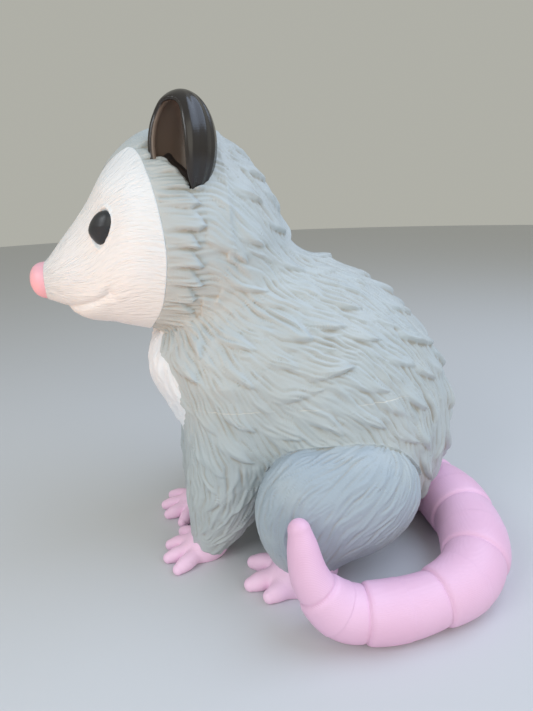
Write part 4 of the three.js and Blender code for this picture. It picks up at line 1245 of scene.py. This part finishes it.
def tail_tree():
    """Geometry nodes: sweeps a round section of changing girth along a line and rests it on the
    floor."""
    tree = bpy.data.node_groups.new("tail_lengths", "GeometryNodeTree")
    keys = [tree.interface.new_socket(label, in_out="INPUT", socket_type="NodeSocket" + kind)
            for label, kind in (("Geometry", "Geometry"), ("Sides", "Int"),
                                ("Finish", "Material"))]
    tree.interface.new_socket("Geometry", in_out="OUTPUT", socket_type="NodeSocketGeometry")
    put = node(tree, "NodeGroupInput").outputs

    def step(kind, inputs=None, **settings):
        return node(tree, kind, inputs, **settings).outputs[0]
    curve = step("GeometryNodeMeshToCurve", {"Mesh": put["Geometry"]})
    girth = step("GeometryNodeInputNamedAttribute", {"Name": "girth"}, data_type="FLOAT")
    ring = step("GeometryNodeCurvePrimitiveCircle", {"Radius": 1.0, "Resolution": put["Sides"]})
    swept = step("GeometryNodeCurveToMesh", {"Curve": curve, "Profile Curve": ring,
                                             "Scale": girth, "Fill Caps": True})
    place = node(tree, "ShaderNodeSeparateXYZ", {0: step("GeometryNodeInputPosition")}).outputs
    level = maths(tree, "MAXIMUM", place[2], 0.0)
    resting = step("ShaderNodeCombineXYZ", {0: place[0], 1: place[1], 2: level})
    moved = step("GeometryNodeSetPosition", {"Geometry": swept, "Position": resting})
    smooth = step("GeometryNodeSetShadeSmooth", {"Geometry": moved})
    real = step("GeometryNodeRealizeInstances", {0: smooth})
    dressed = step("GeometryNodeSetMaterial", {"Geometry": real, "Material": put["Finish"]})
    feed(tree, node(tree, "NodeGroupOutput").inputs[0], dressed)
    return tree, keys[1].identifier, keys[2].identifier


# The tail swells past each crease and narrows before it, with a fine groove in the crease, and
# both its ends are round: extra girth, how much of it a crease takes, and reach past and before it
TAIL_EXTRA, CREASE_TAKES, REACH_PAST, REACH_BEFORE = 1.2, 2.1, 16.0, 4.0
GROOVE_DEEP, GROOVE_HALF = 1.2, 1.5
TIP_BLEND, ROOT_DOME = 14, 26


def make_tail(count, sides):
    line, run = smooth_line(TAIL_LINE, count)
    signed = run[:, None] - np.array(TAIL_CREASES)[None] * run[-1]
    signed = signed[np.arange(count), np.abs(signed).argmin(1)]
    past = np.where(signed > 0, np.exp(-signed / REACH_PAST), 0.3 * np.exp(signed / REACH_BEFORE))
    groove = np.exp(-(np.abs(signed) / GROOVE_HALF) ** 1.5)
    radius = line[:, 3] + TAIL_EXTRA - CREASE_TAKES * past - GROOVE_DEEP * groove
    radius = radius + (line[:, 3] - radius) * ease(TIP_BLEND, 0, run[-1] - run)
    radius *= np.sqrt(1 - np.clip(1 - (run + 0.3) / ROOT_DOME, 0, 1) ** 2)
    tip = line[-1, 3]
    way = unit(line[-1, :3] - line[-4, :3])
    dome = np.linspace(0.12, 1.53, 12)
    at = np.vstack([line[:, :3]] + [line[-1, :3] + way * tip * math.sin(a) for a in dome])
    girth = np.concatenate([radius, [tip * math.cos(a) for a in dome]])
    mesh = bpy.data.meshes.new("tail_line")
    edges = [(k, k + 1) for k in range(len(at) - 1)]
    mesh.from_pydata(((at + ORIGIN_SHIFT) * MM).tolist(), edges, [])
    give(mesh, "girth", girth * MM)
    source = linked("tail_line", mesh)
    tree, sides_key, finish_key = tail_tree()
    sweep = source.modifiers.new("tail_lengths", "NODES")
    sweep.node_group = tree
    sweep[sides_key] = sides
    sweep[finish_key] = lilac
    graph = bpy.context.evaluated_depsgraph_get()
    made = bpy.data.meshes.new_from_object(source.evaluated_get(graph))
    made.name = "lilac_tail"
    bpy.data.objects.remove(source)
    return finished(linked("lilac_tail", made), "lilac", *("tail_%d" % k for k in range(1, 8)))


TAIL_NET = (420, 72)
make_tail(*TAIL_NET)

# ---------------------------------------------------------------- floor, lights and camera
CAMERA_AT = np.array([464.7, 21.9, 324.0])
CAMERA_FORWARD = Vector((-0.93646, 0.18203, -0.29987))
CAMERA_RIGHT = Vector((0.20312, 0.97832, -0.04045))
PHOTO_HEIGHT, FOCAL_PIXELS, SENSOR = 711, 528.0, 36.0
FLOOR_RADIUS, FLOOR_SIDES = 4000, 64


def placed(at):
    return Vector((np.array(at, float) + ORIGIN_SHIFT) * MM)


camera_data = bpy.data.cameras.new("camera")
camera_data.sensor_width = SENSOR
camera_data.lens = FOCAL_PIXELS / PHOTO_HEIGHT * SENSOR
camera_data.clip_start = 0.02
camera = linked("camera", camera_data)
back = -CAMERA_FORWARD.normalized()
right = (CAMERA_RIGHT - back * CAMERA_RIGHT.dot(back)).normalized()
turned = Matrix((right, back.cross(right), back)).transposed().to_4x4()
camera.matrix_world = Matrix.Translation(placed(CAMERA_AT)) @ turned
bpy.context.scene.camera = camera


def make_floor():
    """A pale floor: one wide flat disc."""
    material = bpy.data.materials.new("pale_floor")
    material.use_nodes = True
    shader = material.node_tree.nodes["Principled BSDF"]
    shader.inputs["Base Color"].default_value = colour(0.62, 0.63, 0.65)
    shader.inputs["Roughness"].default_value = 0.75
    turns = [2 * math.pi * k / FLOOR_SIDES for k in range(FLOOR_SIDES)]
    ring = [Vector((FLOOR_RADIUS * math.cos(a), FLOOR_RADIUS * math.sin(a), -0.05)) * MM
            for a in turns]
    mesh = bpy.data.meshes.new("floor")
    mesh.from_pydata(ring, [], [list(range(FLOOR_SIDES))])
    obj = linked("floor", mesh, material)


def aimed(name, kind, at, aim, watts, tint, **settings):
    """A light of some kind, aimed at a place."""
    data = bpy.data.lights.new(name, kind)
    data.energy, data.color = watts, tint
    for key, value in settings.items():
        setattr(data, key, value)
    obj = linked(name, data)
    obj.location = placed(at)
    obj.rotation_euler = (placed(aim) - placed(at)).to_track_quat("-Z", "Y").to_euler()
    return obj


make_floor()
# Broad soft lights: place, aim, watts, colour, width
for name, at, aim, watts, tint, size in (
        ("key", (650, -800, 850), (0, 60, 230), 5.7, (0.88, 0.94, 1.0), 700),
        ("sky", (250, 900, 1200), (0, 130, 150), 12.4, (0.6, 0.74, 1.0), 1400),
        ("fill", (1200, 300, 500), (0, 100, 150), 3.9, (1.0, 0.98, 0.87), 1200)):
    aimed(name, "AREA", at, aim, watts, tint, shape="DISK", size=size * MM)
# The warm light that the floor throws up under the jaw
warm = aimed("warm", "SPOT", (200, -330, 70), (36, -14, 242), 7.0, (1.0, 0.4, 0.06),
             spot_size=rad(30), spot_blend=0.9, shadow_soft_size=0.12)
warm.visible_glossy = False

world = bpy.data.worlds.new("studio")
bpy.context.scene.world = world
world.use_nodes = True
background = world.node_tree.nodes["Background"]
background.inputs[0].default_value = (0.98, 0.98, 0.88, 1)
background.inputs[1].default_value = 0.44
bpy.context.scene.view_settings.view_transform = "Standard"
